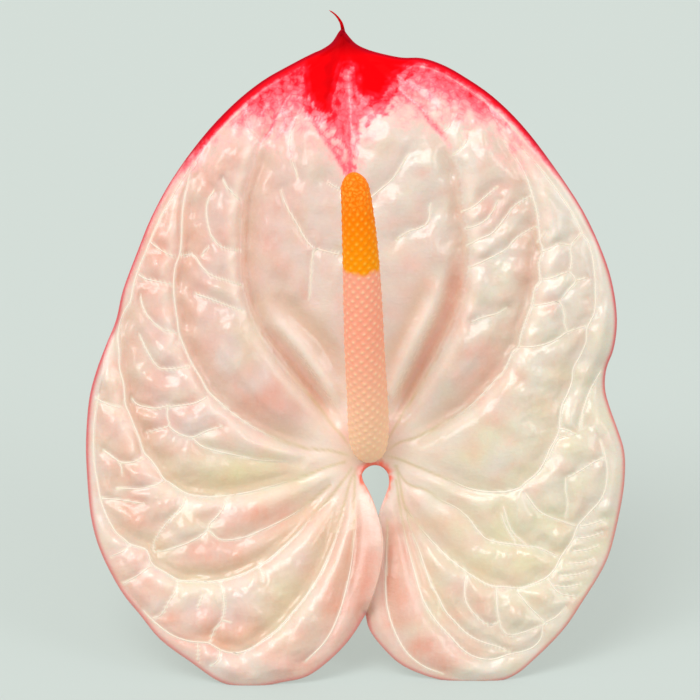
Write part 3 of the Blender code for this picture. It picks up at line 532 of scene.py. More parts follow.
def tube_rings(path: Array, radii: Array, sides: int) -> Array:
    """Rings of points round a path.

    Args:
        path: The centres of the rings.
        radii: The radius of each ring, or of each of its points.
        sides: How many points a ring has.

    Returns:
        For each ring, the centre plus the radius times (cosine of the angle along the level
        direction square to the path, plus sine of the angle along the third direction).
    """
    along = np.gradient(path, axis=0)
    along /= np.linalg.norm(along, axis=1)[:, None]
    across = np.cross(np.cross(along, (1.0, 0.0, 0.0)), along)
    across /= np.linalg.norm(across, axis=1)[:, None] + 1e-12
    other = np.cross(along, across)
    angle = np.arange(sides) * 2 * math.pi / sides
    ring = np.cos(angle)[None, :, None] * across[:, None] + np.sin(angle)[None, :, None] * other[:, None]
    return path[:, None] + np.reshape(radii, (len(path), -1))[..., None] * ring


def tube_faces(rings: int, sides: int, first: int = 0) -> list[Array]:
    """Quads between neighbouring rings of a tube, and a fan to a pole at each end.

    Args:
        rings: How many rings there are, with the start's pole and the end's pole after them.
        sides: How many points a ring has.
        first: The index of the first ring's first point.

    Returns:
        The quads and the two fans.
    """
    ring, i = np.meshgrid(np.arange(rings - 1), np.arange(sides), indexing="ij")
    a, b = first + ring * sides + i, first + ring * sides + (i + 1) % sides
    quads = np.stack([a, b, b + sides, a + sides], axis=2).reshape(-1, 4)
    i = np.arange(sides)
    following, poles = (i + 1) % sides, first + rings * sides
    last = first + (rings - 1) * sides
    start = np.stack([first + following, first + i, np.full(sides, poles)], axis=1)
    end = np.stack([last + i, last + following, np.full(sides, poles + 1)], axis=1)
    return [quads, start, end]


@dataclass(frozen=True)
class Vein:
    """A vein's curve on its half of the blade, with the depth of its step, which is 0 where it has none.

    A soft vein shows as a trough alone, with no raised rib and no pale line.
    """

    side: Side
    step: float
    soft: bool
    curve: Array


@dataclass(frozen=True)
class Fold:
    """A fold's height and crest, how far it slopes to the midrib and to the rim, and whether its crest gets
    painted light.
    """

    height: float
    inner_width: float
    outer_width: float
    side: Side
    crest: Line
    pale: bool


@dataclass(frozen=True)
class Hollow:
    """A hollow's depth, width and line, and whether it is one of the deep ones, which get painted shade."""

    drop: float
    width: float
    line: Line
    deep: bool


@dataclass
class Survey:
    """What the blade's form gives at each spot. All distances are in mm.

    Attributes:
        spots: The spots, in the face frame.
        side: -1 on the left half and 1 on the right one. The two lap at the notch.
        from_stalk: The distance to the place where the stalk joins the blade.
        to_rim: The distance to the rim.
        calm: How much relief there is: none at the stalk, where the blade is flat.
        depth: How far the front stands out.
        to_vein, to_main, to_pale: The distances to any vein, any main vein and any vein drawn pale.
        to_notch: The distance to the notch's edge.
        The last four: how strongly a spot gets painted shade in the dip of a step, painted shade in a
        deep hollow, painted light on a flank, a crest or round the stalk's seat, and painted shade
        in a shallow hollow. Each starts at 0.
    """

    spots: Array
    side: Array
    from_stalk: Array
    to_rim: Array
    calm: Array
    depth: Array = field(init=False)
    to_vein: Array = field(init=False)
    to_main: Array = field(init=False)
    to_pale: Array = field(init=False)
    to_notch: Array = field(init=False)
    # The last four hold painted shade and painted light.
    dim: Array = field(init=False)
    shade: Array = field(init=False)
    lee: Array = field(init=False)
    valley: Array = field(init=False)

    def __post_init__(self) -> None:
        """Starts with no depth, no colour and everything out of reach."""
        self.depth, self.dim, self.shade, self.lee, self.valley = np.zeros((5, len(self.spots)))
        self.to_vein, self.to_main, self.to_pale, self.to_notch = np.full((4, len(self.spots)), OUT_OF_REACH)


@dataclass
class BladeForm:
    """The blade's large form and its relief, in mm.

    The dish and the rim's roll are (depth, reach). A fade is (where it starts, where it is full): a
    distance for the seat, the roll, the cells and the waves, a share of the vein's length for a step,
    and a height up or down the blade for the rest. Each wave is (wavelength, height).
    """

    junction: tuple[float, float] = (-0.6, 3.4)
    seat_fade: tuple[float, float] = (4.5, 13.0)
    dish: tuple[float, float] = (4.0, 20.0)
    rim_roll: tuple[float, float] = (2.6, 5.0)
    roll_fade: tuple[float, float] = (10.0, 25.0)
    tip_droop: float = 6.5
    tip_fade: tuple[float, float] = (58.0, 90.0)
    lobe_rise: float = 3.0
    lobe_fade: tuple[float, float] = (8.0, 42.0)
    lap: float = 1.0
    lap_fade: tuple[float, float] = (2.0, 17.0)
    bay: tuple[float, float] = (46.6, 15.6)
    bay_depth: float = 2.2
    bay_width: float = 7.0
    rim_reach: float = 30.0
    step_reach: float = 16.0
    vein_reach: float = 7.0
    fold_reach: float = 12.0
    hollow_reach: float = 8.0
    notch_reach: float = 9.0
    flank_inner: float = 4.2
    flank_outer: float = 1.2
    vein_height: float = 0.45
    step_blunting: float = 0.5
    step_gain: float = 1.2
    step_fade: tuple[float, float] = (0.0, 0.12)
    step_end: tuple[float, float] = (0.5, 0.9)
    hollow_offset: float = 1.0
    cell_height: float = 1.2
    cell_flank: float = 1.7
    cell_blunting: float = 0.7
    cell_fade: tuple[float, float] = (0.0, 3.0)
    folds: tuple[Fold, ...] = (
        Fold(1.5, 2.4, 1.1, Side.LEFT, LEFT_FOLD, True), Fold(1.3, 2.4, 1.1, Side.RIGHT, RIGHT_FOLD, True),
        Fold(0.9, 3.6, 1.3, Side.LEFT, LEFT_BROW, False), Fold(0.7, 3.2, 1.3, Side.RIGHT, RIGHT_BROW, False),
    )
    hollows: tuple[Hollow, ...] = (
        Hollow(2.0, 1.5, LEFT_HOLLOW, True), Hollow(1.8, 1.5, RIGHT_HOLLOW, True),
        Hollow(1.2, 2.2, LEFT_VALLEY, False), Hollow(0.5, 1.8, RIGHT_VALLEY, False),
    )
    waves: tuple[tuple[float, float], ...] = ((7.0, 0.2), (3.2, 0.06), (1.5, 0.026))
    wave_fade: tuple[float, float] = (18.0, 36.0)
    first_wave_seed: int = 11
    lip: float = 0.35
    lip_width: float = 0.7
    lip_fade: tuple[float, float] = (-13.0, -7.0)
    veins: list[Vein] = field(default_factory=list)

    def __post_init__(self) -> None:
        """Gathers every vein. The first main one on each side is soft."""
        self.veins = [Vein(Side.MIDDLE, 0.0, False, spline(MIDRIB, 8))]
        for side, mains, net in ((Side.LEFT, LEFT_VEINS, LEFT_NET), (Side.RIGHT, RIGHT_VEINS, RIGHT_NET)):
            self.veins += [
                Vein(side, step, number == 0, spline(line)) for number, (step, line) in enumerate(mains)
            ]
            self.veins += [Vein(side, 0.0, False, spline(line)) for line in net]

    @property
    def rim(self) -> Array:
        """The whole rim, from the left lobe's inner end over the tip to the right lobe's inner end."""
        return np.vstack([spline(LEFT_RIM)[::-1], spline(NECK), spline(RIGHT_RIM)])

    def survey(self, spots: Array, side: Array) -> Survey:
        """Works out the depth of the blade's front, and the distances on it.

        The depth is the sum of a shallow dish, a step along each main vein, four folds, the hollows
        beside them, cells that swell between the veins, and a lip at the top of the notch. All but
        the dish and the lip fade out at the stalk, where the blade is flat.

        Args:
            spots: Where it is wanted, in the face frame.
            side: -1 for the left half and 1 for the right, which lap at the notch.

        Returns:
            The survey.
        """
        from_stalk = np.hypot(spots[:, 0] - self.junction[0], spots[:, 1] - self.junction[1])
        calm = smoothstep(*self.seat_fade, from_stalk)
        found = Survey(spots, side, from_stalk, nearest_on(self.rim, spots, self.rim_reach)[0], calm)
        for shape in (
            self.dish_out, self.cut_steps, self.raise_folds, self.sink_hollows, self.swell_cells,
            self.raise_lip,
        ):
            shape(found)
        return found

    def dish_out(self, at: Survey) -> None:
        """Adds the dish, its rolled rim, drooping tip, raised and lapping lobes, and the bay on the right.

        Args:
            at: The survey that it works on.
        """
        x, y = at.spots.T
        at.depth += self.dish[0] * (1 - bell(at.from_stalk, self.dish[1]))
        roll = self.rim_roll[0] * np.exp(-at.to_rim / self.rim_roll[1])
        at.depth -= roll * smoothstep(*self.roll_fade, at.from_stalk)
        at.depth -= self.tip_droop * smoothstep(*self.tip_fade, y)
        at.depth += self.lobe_rise * smoothstep(*self.lobe_fade, -y)
        at.depth -= at.side * self.lap * smoothstep(*self.lap_fade, -y)
        at.depth -= self.bay_depth * bell(np.hypot(x - self.bay[0], y - self.bay[1]), self.bay_width)

    def cut_steps(self, at: Survey) -> None:
        """Measures the way to the veins, and cuts the step of each main one.

        Below the notch's top, a vein counts only on its own lobe.

        Args:
            at: The survey that it works on.
        """
        for vein in self.veins:
            reach = self.step_reach if vein.step else self.vein_reach
            gap, hand, along = nearest_on(vein.curve, at.spots, reach)
            own = (vein.side == Side.MIDDLE) | (at.spots[:, 1] > 0) | (vein.side == at.side)
            gap = np.where(own, gap, OUT_OF_REACH)
            at.to_vein = np.minimum(at.to_vein, gap)
            if not vein.soft:
                at.to_pale = np.minimum(at.to_pale, gap)
            if vein.step or vein.side == Side.MIDDLE:
                at.to_main = np.minimum(at.to_main, gap)
            if vein.step:
                self.cut_step(at, vein, gap, hand * int(vein.side) > 0, along)

    def cut_step(self, at: Survey, vein: Vein, gap: Array, inner: Array, along: Array) -> None:
        """Cuts one vein's step, which falls gently to the vein and rises sharply past it.

        On the midrib's side its depth is 1 less a hump at the vein, times exp(-(gap - offset) / inner
        flank) past the offset. Beyond the vein it is what the hump leaves times exp(-gap / outer
        flank). It fades in at the vein's start and down to a quarter at its end. The dip gets painted
        shade, and the flank beyond the vein gets painted light.

        Args:
            at: The survey that it works on.
            vein: The vein.
            gap: The distance of each spot to it.
            inner: Whether each spot is on its midrib side.
            along: The share of the vein that is passed at each spot.
        """
        gap = np.hypot(gap, self.step_blunting) - self.step_blunting
        ends = smoothstep(*self.step_fade, along) * (1 - 0.75 * smoothstep(*self.step_end, along))
        dip = 1 - self.vein_height * bell(gap, 0.8 * self.hollow_offset)
        dip *= np.exp(-np.maximum(gap - self.hollow_offset, 0) / self.flank_inner)
        fall = np.where(inner, dip, (1 - self.vein_height) * np.exp(-gap / self.flank_outer))
        at.depth -= self.step_gain * vein.step * ends * fall * at.calm
        # Painted shade in the dip inside the vein, and painted light on the flank beyond it.
        band = bell(gap - 1.0, 2.0 if vein.soft else 2.8)
        at.dim = np.maximum(at.dim, np.where(inner, min(vein.step / 1.7, 1) * ends * band, 0) * at.calm)
        flank = vein.step / 3 * ends * bell(gap - 1.2, 1.2)
        at.lee = np.maximum(at.lee, np.where(inner, 0, flank) * at.calm)

    def raise_folds(self, at: Survey) -> None:
        """Raises the folds, each by its height times a bell of the distance to its crest.

        The pale folds' crests and a ring round the stalk get painted light.

        Args:
            at: The survey that it works on.
        """
        for fold in self.folds:
            gap, hand, along = nearest_on(spline(fold.crest), at.spots, self.fold_reach)
            width = np.where(hand * int(fold.side) < 0, fold.inner_width, fold.outer_width)
            ends = smoothstep(0, 0.5, along) * smoothstep(1, 0.8, along)
            at.depth += fold.height * bell(gap, width) * at.calm * ends
            # Painted light on the pale folds' crests.
            if fold.pale:
                at.lee = np.maximum(at.lee, bell(gap, 2.0) * smoothstep(0, 0.35, along) * at.calm)
        # Painted light in a ring round the stalk's seat.
        at.lee = np.maximum(at.lee, 0.8 * bell(at.from_stalk - 9, 6.0))

    def sink_hollows(self, at: Survey) -> None:
        """Sinks the hollows, each by its drop times a bell of the distance to its line.

        The deep ones get painted shade in one colour, and the shallow ones in another.

        Args:
            at: The survey that it works on.
        """
        for hollow in self.hollows:
            gap, _, along = nearest_on(spline(hollow.line), at.spots, self.hollow_reach)
            ends = smoothstep(0, 0.45, along) * (1 - 0.5 * smoothstep(0.8, 1, along))
            at.depth -= hollow.drop * bell(gap, hollow.width) * ends * at.calm
            # Painted shade in the hollow: the deep ones in one colour, the shallow ones in another.
            if hollow.deep:
                at.shade = np.maximum(at.shade, 1.1 * bell(gap, hollow.width) * smoothstep(0, 0.3, along))
            else:
                at.valley = np.maximum(at.valley, bell(gap, hollow.width * 1.2) * ends)

    def swell_cells(self, at: Survey) -> None:
        """Swells the cells by one less exp(-distance to the nearest vein / their flank), and adds waves.

        The waves are weaker at the veins and the stalk, behind the spadix, below it and at the tip.

        Args:
            at: The survey that it works on.
        """
        x, y = at.spots.T
        swell = at.calm * smoothstep(*self.cell_fade, at.to_rim)
        blunt = np.hypot(at.to_vein, self.cell_blunting) - self.cell_blunting
        at.depth += self.cell_height * (1 - np.exp(-blunt / self.cell_flank)) * swell
        rough = swell * smoothstep(0, 1.5, at.to_vein)
        rough *= 0.15 + 0.85 * smoothstep(*self.wave_fade, at.from_stalk)
        rough *= 1 - 0.7 * bell(np.hypot((x + 2) / 17, (y - 36) / 30), 1)
        rough *= 1 - 0.8 * smoothstep(3, -6, y) * bell((x - 1) / 14, 1)
        rough *= 1 - 0.8 * smoothstep(70, 76, y)
        for number, (wavelength, height) in enumerate(self.waves):
            at.depth += height * ripple(at.spots, wavelength, self.first_wave_seed + number) * rough

    def raise_lip(self, at: Survey) -> None:
        """Measures the way to the notch's edge, and raises the lip along its upper part.

        Args:
            at: The survey that it works on.
        """
        x, y = at.spots.T
        for half, edge in ((Side.LEFT, LEFT_NOTCH), (Side.RIGHT, RIGHT_NOTCH)):
            gap = nearest_on(spline(edge), at.spots, self.notch_reach)[0]
            at.to_notch = np.minimum(at.to_notch, np.where(at.side == half, gap, self.notch_reach))
        arc = np.abs(np.hypot(x - NOTCH_CENTRE[0], y - NOTCH_CENTRE[1]) - NOTCH_RADIUS)
        at.to_notch = np.minimum(at.to_notch, arc + 6 * smoothstep(1, 5, -y))
        at.depth += self.lip * bell(at.to_notch, self.lip_width) * smoothstep(*self.lip_fade, y)


@dataclass(frozen=True)
class RaggedArea:
    """An area with a soft, ragged edge, in mm. Depths count in whole mm, so that its edge has steps too.

    Attributes:
        loop: Its outline.
        edge: How deep inside the outline it starts, and how deep it is full.
        ragged, wavelength, seed: The spread, the wavelength and the seed of the ripple on its edge.
        reach: Depths are measured up to this.
    """

    loop: Line
    edge: tuple[float, float]
    ragged: float
    wavelength: float
    seed: int
    reach: float = 14.0

    def share(self, spots: Array) -> Array:
        """How fully each spot is in the area, from 0 to 1."""
        within = np.trunc(depth_inside(self.loop, spots, self.reach))
        return smoothstep(*self.edge, within + self.ragged * ripple(spots, self.wavelength, self.seed))


@dataclass
class BladePaint:
    """Where each colour of the blade lies.

    Every soft oval is (x, y, half width, half height, strength), in mm but for its strength. The reds
    are ragged areas, threads and bands. Where a width or a reach has two values, the first holds left
    of the middle or of the tip, and the second right of it.
    """

    blush: Ovals = (
        (-41, 44, 9, 16, 0.8), (-28, 60, 9, 8, 0.5), (-46.4, 9.2, 8, 14, 0.5), (-35.4, 25.2, 4, 14, 0.6),
        (-28.8, 47.2, 5, 8, 0.45), (-40.4, 33.2, 7, 8, 0.6), (-21.4, 12.2, 9, 6, 0.7),
        (-17.4, -10.8, 13, 4.5, 0.85), (-2, -18.8, 4.5, 16, 1.0), (-30, -17.5, 9, 3.5, 0.75),
        (-6.8, -24.8, 4.5, 12, 0.85), (-30.4, -33.8, 12, 4.5, 0.85), (-47, -23, 6, 7, 0.55),
        (-42, -31, 6, 5, 0.45), (-14.4, -38.8, 8, 5, 0.6), (-46.4, -8.8, 6, 5, 0.5),
        (-11, -18, 3, 12, 0.35), (-48, -1, 6, 4, 0.5), (-20, 55, 8, 12, 0.35), (-12, 66, 12, 5, 0.4),
        (-24, 46, 9, 15, 0.4), (-34, 58, 7, 6, 0.5),
        (22.6, 18.2, 6, 9, 0.65), (16.6, 31.2, 3.5, 9, 0.5), (5, -20.8, 5.5, 15, 1.0),
        (11.6, -36.8, 8, 5, 0.8), (23.6, 52.2, 5, 6, 0.5), (31, 40, 4, 10, 0.35),
        (9.6, 35.2, 5, 14, 0.3), (30, 62, 8, 6, 0.45), (16, -12, 5, 5, 0.35), (20, -27, 6, 6, 0.3),
    )
    green: Ovals = (
        (27, -16, 19, 16, 0.6), (36, 8, 14, 20, 0.35), (22, 5, 16, 7, 0.4), (-4.2, 1.8, 2.6, 3, 0.7),
        (3.4, 2.2, 2.6, 3.2, 0.6), (8, 2, 6, 3, 0.5), (-25, -1.5, 16, 5.5, 0.8), (-9.5, -16, 3.5, 9, 0.4),
        (-18, -27, 6, 9, 0.6), (-38, -11, 8, 5, 0.4), (-36, -24, 7, 3.5, 0.4), (12, -27, 4, 10, 0.5),
        (-24, 27, 4, 8, 0.3), (26, 30, 4, 10, 0.25), (-49, 6, 5, 26, 0.3),
    )
    shadow: Ovals = (
        (-4.4, -15, 4.6, 20, 1), (4.6, -14, 3.8, 18, 0.6), (-49, 6, 4, 30, 0.25), (-24, 50, 10, 16, 0.15),
        (-20, -19, 8, 6, 0.3), (-12, -30, 9, 9, 0.3), (16, -28, 12, 10, 0.25),
    )
    inlet: Ovals = ((-5, 74.5, 2.2, 6, 0.6),)
    pale: Ovals = ((-4.6, 75, 0.7, 3.4, 0.2), (26, 67, 5, 4, 0.16))
    solid: RaggedArea = RaggedArea(SOLID_RED, (-2.6, 1.9), 0.3, 2.2, 31)
    wedge: RaggedArea = RaggedArea(RED_WEDGE, (-1.4, 1.2), 0.4, 2.0, 34)
    wedge_strength: float = 0.54
    bleed: RaggedArea = RaggedArea(RED_BLEED, (-6.0, 7.0), 0.9, 4.0, 32)
    bleed_strength: tuple[float, float] = (0.27, 0.55)
    bleed_reach: tuple[float, float] = (6.0, 4.5)
    thread_strength: float = 0.45
    thread_width: float = 0.85
    band_width: tuple[float, float] = (1.7, 1.1)
    tip_x: float = -5.0
    rim_width: tuple[float, float] = (0.56, 0.46)
    vein_width: float = 0.22
    main_width: float = 0.28
    pale_from: tuple[float, float] = (12.0, 28.0)

    @staticmethod
    def strongest(spots: Array, ovals: Ovals) -> Array:
        """How strong the strongest of some soft ovals is at each spot.

        Args:
            spots: The spots, in the face frame.
            ovals: The ovals.

        Returns:
            The most of each oval's strength times a bell of the way out from its middle, which is 1 on
            its edge.
        """
        found = np.zeros(len(spots))
        for x, y, wide, high, strength in ovals:
            away = np.hypot((spots[:, 0] - x) / wide, (spots[:, 1] - y) / high)
            found = np.maximum(found, strength * bell(away, 1.0))
        return found

    def redness(self, survey: Survey) -> Array:
        """How red each spot is.

        Args:
            survey: The survey of the spots.

        Returns:
            From 0 to 1, the most of the solid red at the tip, the wedge, inlet and threads that run
            down from it, the bleed, the red of the main veins near the tip and a band along the upper
            rim, less the pale ovals and a pale seam inside the band.
        """
        spots, (x, y) = survey.spots, survey.spots.T
        left = x < self.tip_x
        threads = [
            self.thread_strength * bell(nearest_on(spline(each), spots, 4.0)[0], self.thread_width)
            for each in RED_THREADS
        ]
        near_rim = np.exp(-survey.to_rim / np.where(left, *self.bleed_reach)) * smoothstep(57, 75, y)
        strength = self.bleed_strength[0] + self.bleed_strength[1] * near_rim
        bleed = self.bleed.share(spots) * strength * (1 + 0.08 * ripple(spots, 2.2, 33))
        band = 0.95 * smoothstep(1.5, 0.3, survey.to_rim / np.where(left, *self.band_width))
        band *= smoothstep(52, 70, y)
        vein = 0.42 * bell(survey.to_main, 0.8) * smoothstep(60, 69, y)
        red = np.maximum.reduce([
            self.solid.share(spots), self.wedge_strength * self.wedge.share(spots),
            self.strongest(spots, self.inlet), *threads, bleed, band, vein,
        ])
        seam = 0.3 * bell(survey.to_rim - 1.6, 0.3) * smoothstep(60, 70, y)
        seam *= smoothstep(8, 16, np.abs(x - self.tip_x))
        return np.clip(red - self.strongest(spots, self.pale) - seam, 0, 1)

    def values(self, survey: Survey) -> dict[str, Array]:
        """Works out the attributes that the blade's finish reads.

        Args:
            survey: The survey of the spots.

        Returns:
            The attributes by name. The deep red, which is partly painted shade, fills the very tip and the
            dark streak, the blade's main veins are olive near the stalk and pale further out, and the
            rim and the notch are bells of the distance to them.
        """
        spots, (x, y) = survey.spots, survey.spots.T
        far = smoothstep(*self.pale_from, survey.from_stalk)
        streak = nearest_on(spline(DARK_STREAK), spots, 6.0)[0] + 0.3 * ripple(spots, 2.5, 35)
        to_notch = survey.to_notch + 0.12 * ripple(spots, 1.6, 43)
        return {
            "redness": self.redness(survey),
            # Deep red at the tip and in the dark streak, partly painted shade.
            "deep": np.maximum(
                smoothstep(80, 85.5, y) * smoothstep(9, 2, np.abs(x + 5.5)), 0.6 * bell(streak, 1.5),
            ),
            "blush": np.clip(self.strongest(spots, self.blush) + 0.1 * ripple(spots, 6.0, 41), 0, 1),
            "green": np.clip(self.strongest(spots, self.green) + 0.08 * ripple(spots, 8.0, 42), 0, 1),
            "rightness": smoothstep(-30, 30, x),
            "low": smoothstep(12, -4, y),
            # Painted shade and painted light from the survey, and painted shadow in soft ovals.
            "dim": survey.dim,
            "shade": survey.shade,
            "lee": survey.lee,
            "valley": survey.valley,
            "shadow": self.strongest(spots, self.shadow),
            "vein": bell(survey.to_pale, self.vein_width) * smoothstep(0.2, 1.2, survey.to_rim) * far,
            "olive": bell(survey.to_main, self.main_width) * (1 - far) * smoothstep(3, 6, survey.from_stalk),
            "rim": bell(survey.to_rim, np.where(x < 0, *self.rim_width)),
            "rim_red": smoothstep(-46, 30, y) * np.where(x > 0, smoothstep(-40, 50, y), 1.0),
            "notch": bell(to_notch, 0.45 + 0.4 * smoothstep(-3.5, 0, y)) * smoothstep(-11, -2, y),
        }


@dataclass
class BladeGrid:
    """A fan of rows from the top of the notch to the rim, whose columns double twice on the way."""

    rows: int = 152
    inner_columns: int = 168
    doublings: tuple[int, ...] = (38, 76)
    crowding: float = 1.15
    arc_turn: tuple[float, float] = (74.0, 82.0)
    edge_reach: float = 0.045

    def columns(self, row: int) -> int:
        """How many columns this row is divided into."""
        return self.inner_columns * 2 ** sum(row >= doubling for doubling in self.doublings)

    def points(self, rim: Array, row: int, columns: int) -> Array:
        """The points of one row.

        Each lies on the straight line from the arc over the notch to the rim, at the row's share of
        it. The arc runs as far each way from its top as arc_turn says, in degrees. Near either end of
        the row, a point is moved by what the notch's edge there departs from its own straight line,
        times a bell of the share along the rim.

        Args:
            rim: The whole rim.
            row: Which row.
            columns: How many columns it is divided into.

        Returns:
            The points, one more than the columns.
        """
        share = np.linspace(0, 1, columns + 1)
        outer = at_lengths(rim, share * lengths_along(rim)[-1])
        centre = np.array(NOTCH_CENTRE)
        heading = np.degrees(np.unwrap(np.arctan2(*(outer - centre).T[::-1])))
        heading += 270 - heading[0]
        swing = np.sin(math.pi / 2 * np.clip((heading - 90) / 180, -1, 1))
        turn = np.radians(90 + np.where(swing > 0, *self.arc_turn) * swing)
        inner = centre + NOTCH_RADIUS * np.stack([np.cos(turn), np.sin(turn)], axis=1)
        v = 1 - (1 - row / self.rows) ** self.crowding
        placed = inner * (1 - v) + outer * v
        for edge, end, from_edge in ((LEFT_NOTCH, 0, share), (RIGHT_NOTCH, -1, 1 - share)):
            curve, weight = spline(edge), bell(from_edge, self.edge_reach)
            there = at_lengths(curve, np.array([v * lengths_along(curve)[-1]]))[0]
            placed += weight[:, None] * (there - inner[end] * (1 - v) - outer[end] * v)
        return placed

    def sheet(self, rim: Array, stride: int) -> tuple[Array, Array, list[Array], Array]:
        """One sheet of the blade, at every row and column or at every second one.

        Args:
            rim: The whole rim.
            stride: 1 for all of the rows and columns, or 2 for every second one.

        Returns:
            The points, the side of each (-1 or 1), the faces as quads and triangles, and the
            indices round its edge: up the left of the notch, along the rim, and back.
        """
        rows = np.arange(0, self.rows + 1, stride)
        counts = [self.columns(int(row)) // stride for row in rows]
        spots = [self.points(rim, int(row), count) for row, count in zip(rows, counts)]
        first = np.concatenate([[0], np.cumsum([count + 1 for count in counts])])
        tip = np.argmax(rim[:, 1])
        turning = lengths_along(rim)[tip] / lengths_along(rim)[-1]
        side = np.concatenate([
            np.where(np.linspace(0, 1, count + 1) < turning, -1, 1) for count in counts
        ])
        quads, triangles = [], []
        for k, (near, far) in enumerate(zip(counts, counts[1:])):
            i = np.arange(near)
            a, b = first[k] + i, first[k] + i + 1
            if near == far:
                quads.append(np.stack([a, b, first[k + 1] + i + 1, first[k + 1] + i], axis=1))
                continue
            c = first[k + 1] + 2 * i
            corners = ((a, c + 1, c), (a, b, c + 1), (b, c + 2, c + 1))
            triangles += [np.stack(three, axis=1) for three in corners]
        last = len(counts) - 1
        loop = np.concatenate([
            first[:last], first[last] + np.arange(counts[last] + 1),
            (first[1:last + 1] - 1)[::-1], first[0] + np.arange(counts[0] - 1, 0, -1),
        ])
        return np.vstack(spots), side, [np.vstack(quads), np.vstack(triangles)], loop


@dataclass
class Spathe:
    """The blade: one closed, waxy sheet with its veins, its drawn-out point and its paler back.

    Sizes are in mm. The thicknesses are at the stalk, between it and the rim, and at the rim. The rib
    radii are of a main vein and of the others, and the point's radii are at its start and its end.
    """

    form: BladeForm = field(default_factory=BladeForm)
    paint: BladePaint = field(default_factory=BladePaint)
    grid: BladeGrid = field(default_factory=BladeGrid)
    thickness: tuple[float, float, float] = (0.95, 0.75, 0.42)
    seat_width: float = 9.0
    rim_thinning: float = 1.6
    edge_bulge: float = 0.16
    rib_radius: tuple[float, float] = (0.18, 0.13)
    rib_proud: float = 0.12
    rib_spacing: float = 0.5
    rib_sides: int = 6
    point_path: Line = (
        (-5.6, 85.6, -0.5), (-5.75, 86.8, -0.25), (-5.9, 87.9, -0.1), (-6.2, 89.0, 0), (-6.8, 90.0, 0.1),
        (-7.6, 90.8, 0.4), (-8.6, 91.4, 0.9),
    )
    point_radii: tuple[float, float] = (0.62, 0.1)
    point_sides: int = 14

    def back_gap(self, survey: Survey) -> Array:
        """How thick the blade is: most at the stalk, and thin at the rim."""
        seat, body, rim = self.thickness
        gap = body + (seat - body) * bell(survey.from_stalk, self.seat_width)
        return gap + (rim - gap) * np.exp(-survey.to_rim / self.rim_thinning)

    def skin(self) -> bpy.types.Object:
        """The blade's front and back, joined by a rounded edge.

        Returns:
            The piece that stands for the spathe's solid.
        """
        front_spots, front_side, front_faces, front_loop = self.grid.sheet(self.form.rim, 1)
        back_spots, back_side, back_faces, back_loop = self.grid.sheet(self.form.rim, 2)
        front, back = self.form.survey(front_spots, front_side), self.form.survey(back_spots, back_side)
        gap = self.back_gap(back)
        top = np.column_stack([front_spots, front.depth])
        under = np.column_stack([back_spots, back.depth - gap])

        outline = top[front_loop]
        run = np.roll(outline, -1, axis=0)[:, :2] - np.roll(outline, 1, axis=0)[:, :2]
        run /= np.linalg.norm(run, axis=1)[:, None] + 1e-9
        middle = outline.copy()
        middle[:, :2] += self.edge_bulge * np.stack([-run[:, 1], run[:, 0]], axis=1)
        middle[:, 2] -= 0.5 * self.back_gap(front)[front_loop]

        points = np.vstack([top, under, middle])
        faces = front_faces + [face[:, ::-1] + len(top) for face in back_faces]
        faces += self.edge_faces(front_loop, back_loop + len(top), len(top) + len(under))
        ahead, behind = self.paint.values(front), self.paint.values(back)
        values = {
            name: np.concatenate([ahead[name], behind[name], ahead[name][front_loop]]) for name in ahead
        }
        values["back"] = np.concatenate([np.zeros(len(top)), np.ones(len(under)), np.full(len(middle), 0.3)])
        return made_mesh("spathe_blade", FACE.place(FACE.lift(points)), faces, values)

    @staticmethod
    def edge_faces(front_loop: Array, back_loop: Array, first: int) -> list[Array]:
        """Joins the front sheet's edge to the middle loop, and that to the back sheet's edge.

        Args:
            front_loop: The indices of the front's edge, twice as many as the back's.
            back_loop: The indices of the back's edge.
            first: The index of the middle loop's first point.

        Returns:
            The quads of the front's half, and the triangles of the back's.
        """
        i = np.arange(len(front_loop))
        following = (i + 1) % len(front_loop)
        outer = np.stack([front_loop[following], front_loop[i], first + i, first + following], axis=1)
        k = np.arange(len(back_loop))
        a, b, c = first + 2 * k, first + 2 * k + 1, first + (2 * k + 2) % len(front_loop)
        here, onward = back_loop[k], back_loop[(k + 1) % len(back_loop)]
        fans = [np.stack(three, axis=1) for three in ((a, here, b), (b, here, onward), (b, onward, c))]
        return [outer, *fans]

    def ribs(self) -> bpy.types.Object:
        """The fine raised lines of all the veins: thin tubes that follow the blade's front.

        Returns:
            One piece with a closed tube for each vein, thinner at its ends.
        """
        points, faces, values = [], [], []
        total = 0
        for vein in self.form.veins:
            length, half = lengths_along(vein.curve)[-1], int(vein.side) or 1
            run = resample(vein.curve, max(4, round(length / self.rib_spacing) + 1))
            survey = self.form.survey(run, np.full(len(run), half))
            keep = survey.to_rim > 0.5
            run, depth = run[keep], survey.depth[keep]
            if len(run) < 4:
                continue
            share = np.linspace(0, 1, len(run))
            main = vein.step or vein.side == Side.MIDDLE
            size = (self.rib_radius[0] if main else self.rib_radius[1]) * (1 - 0.45 * share)
            size *= np.clip(20 * share + 0.2, 0, 1) * np.clip(20 * (1 - share) + 0.2, 0, 1)
            proud = self.rib_proud * smoothstep(8, 24, survey.from_stalk[keep]) * (not vein.soft)
            proud *= 1 - 0.9 * smoothstep(0.2, 0.8, self.paint.redness(survey)[keep])
            centre = np.column_stack([run, depth + proud - size])
            rings = tube_rings(centre, size, self.rib_sides)
            group = np.vstack([rings.reshape(-1, 3), centre[:1], centre[-1:]])
            faces += tube_faces(len(run), self.rib_sides, total)
            points.append(group)
            around = self.form.survey(group[:, :2], np.full(len(group), half))
            painted = self.paint.values(around)
            if not vein.soft:
                painted["vein"] = smoothstep(*self.paint.pale_from, around.from_stalk)
            values.append(painted)
            total += len(group)
        joined = {name: np.concatenate([each[name] for each in values]) for name in values[0]}
        joined["back"] = np.zeros(total)
        return made_mesh("spathe_veins", FACE.place(np.vstack(points)), faces, joined)

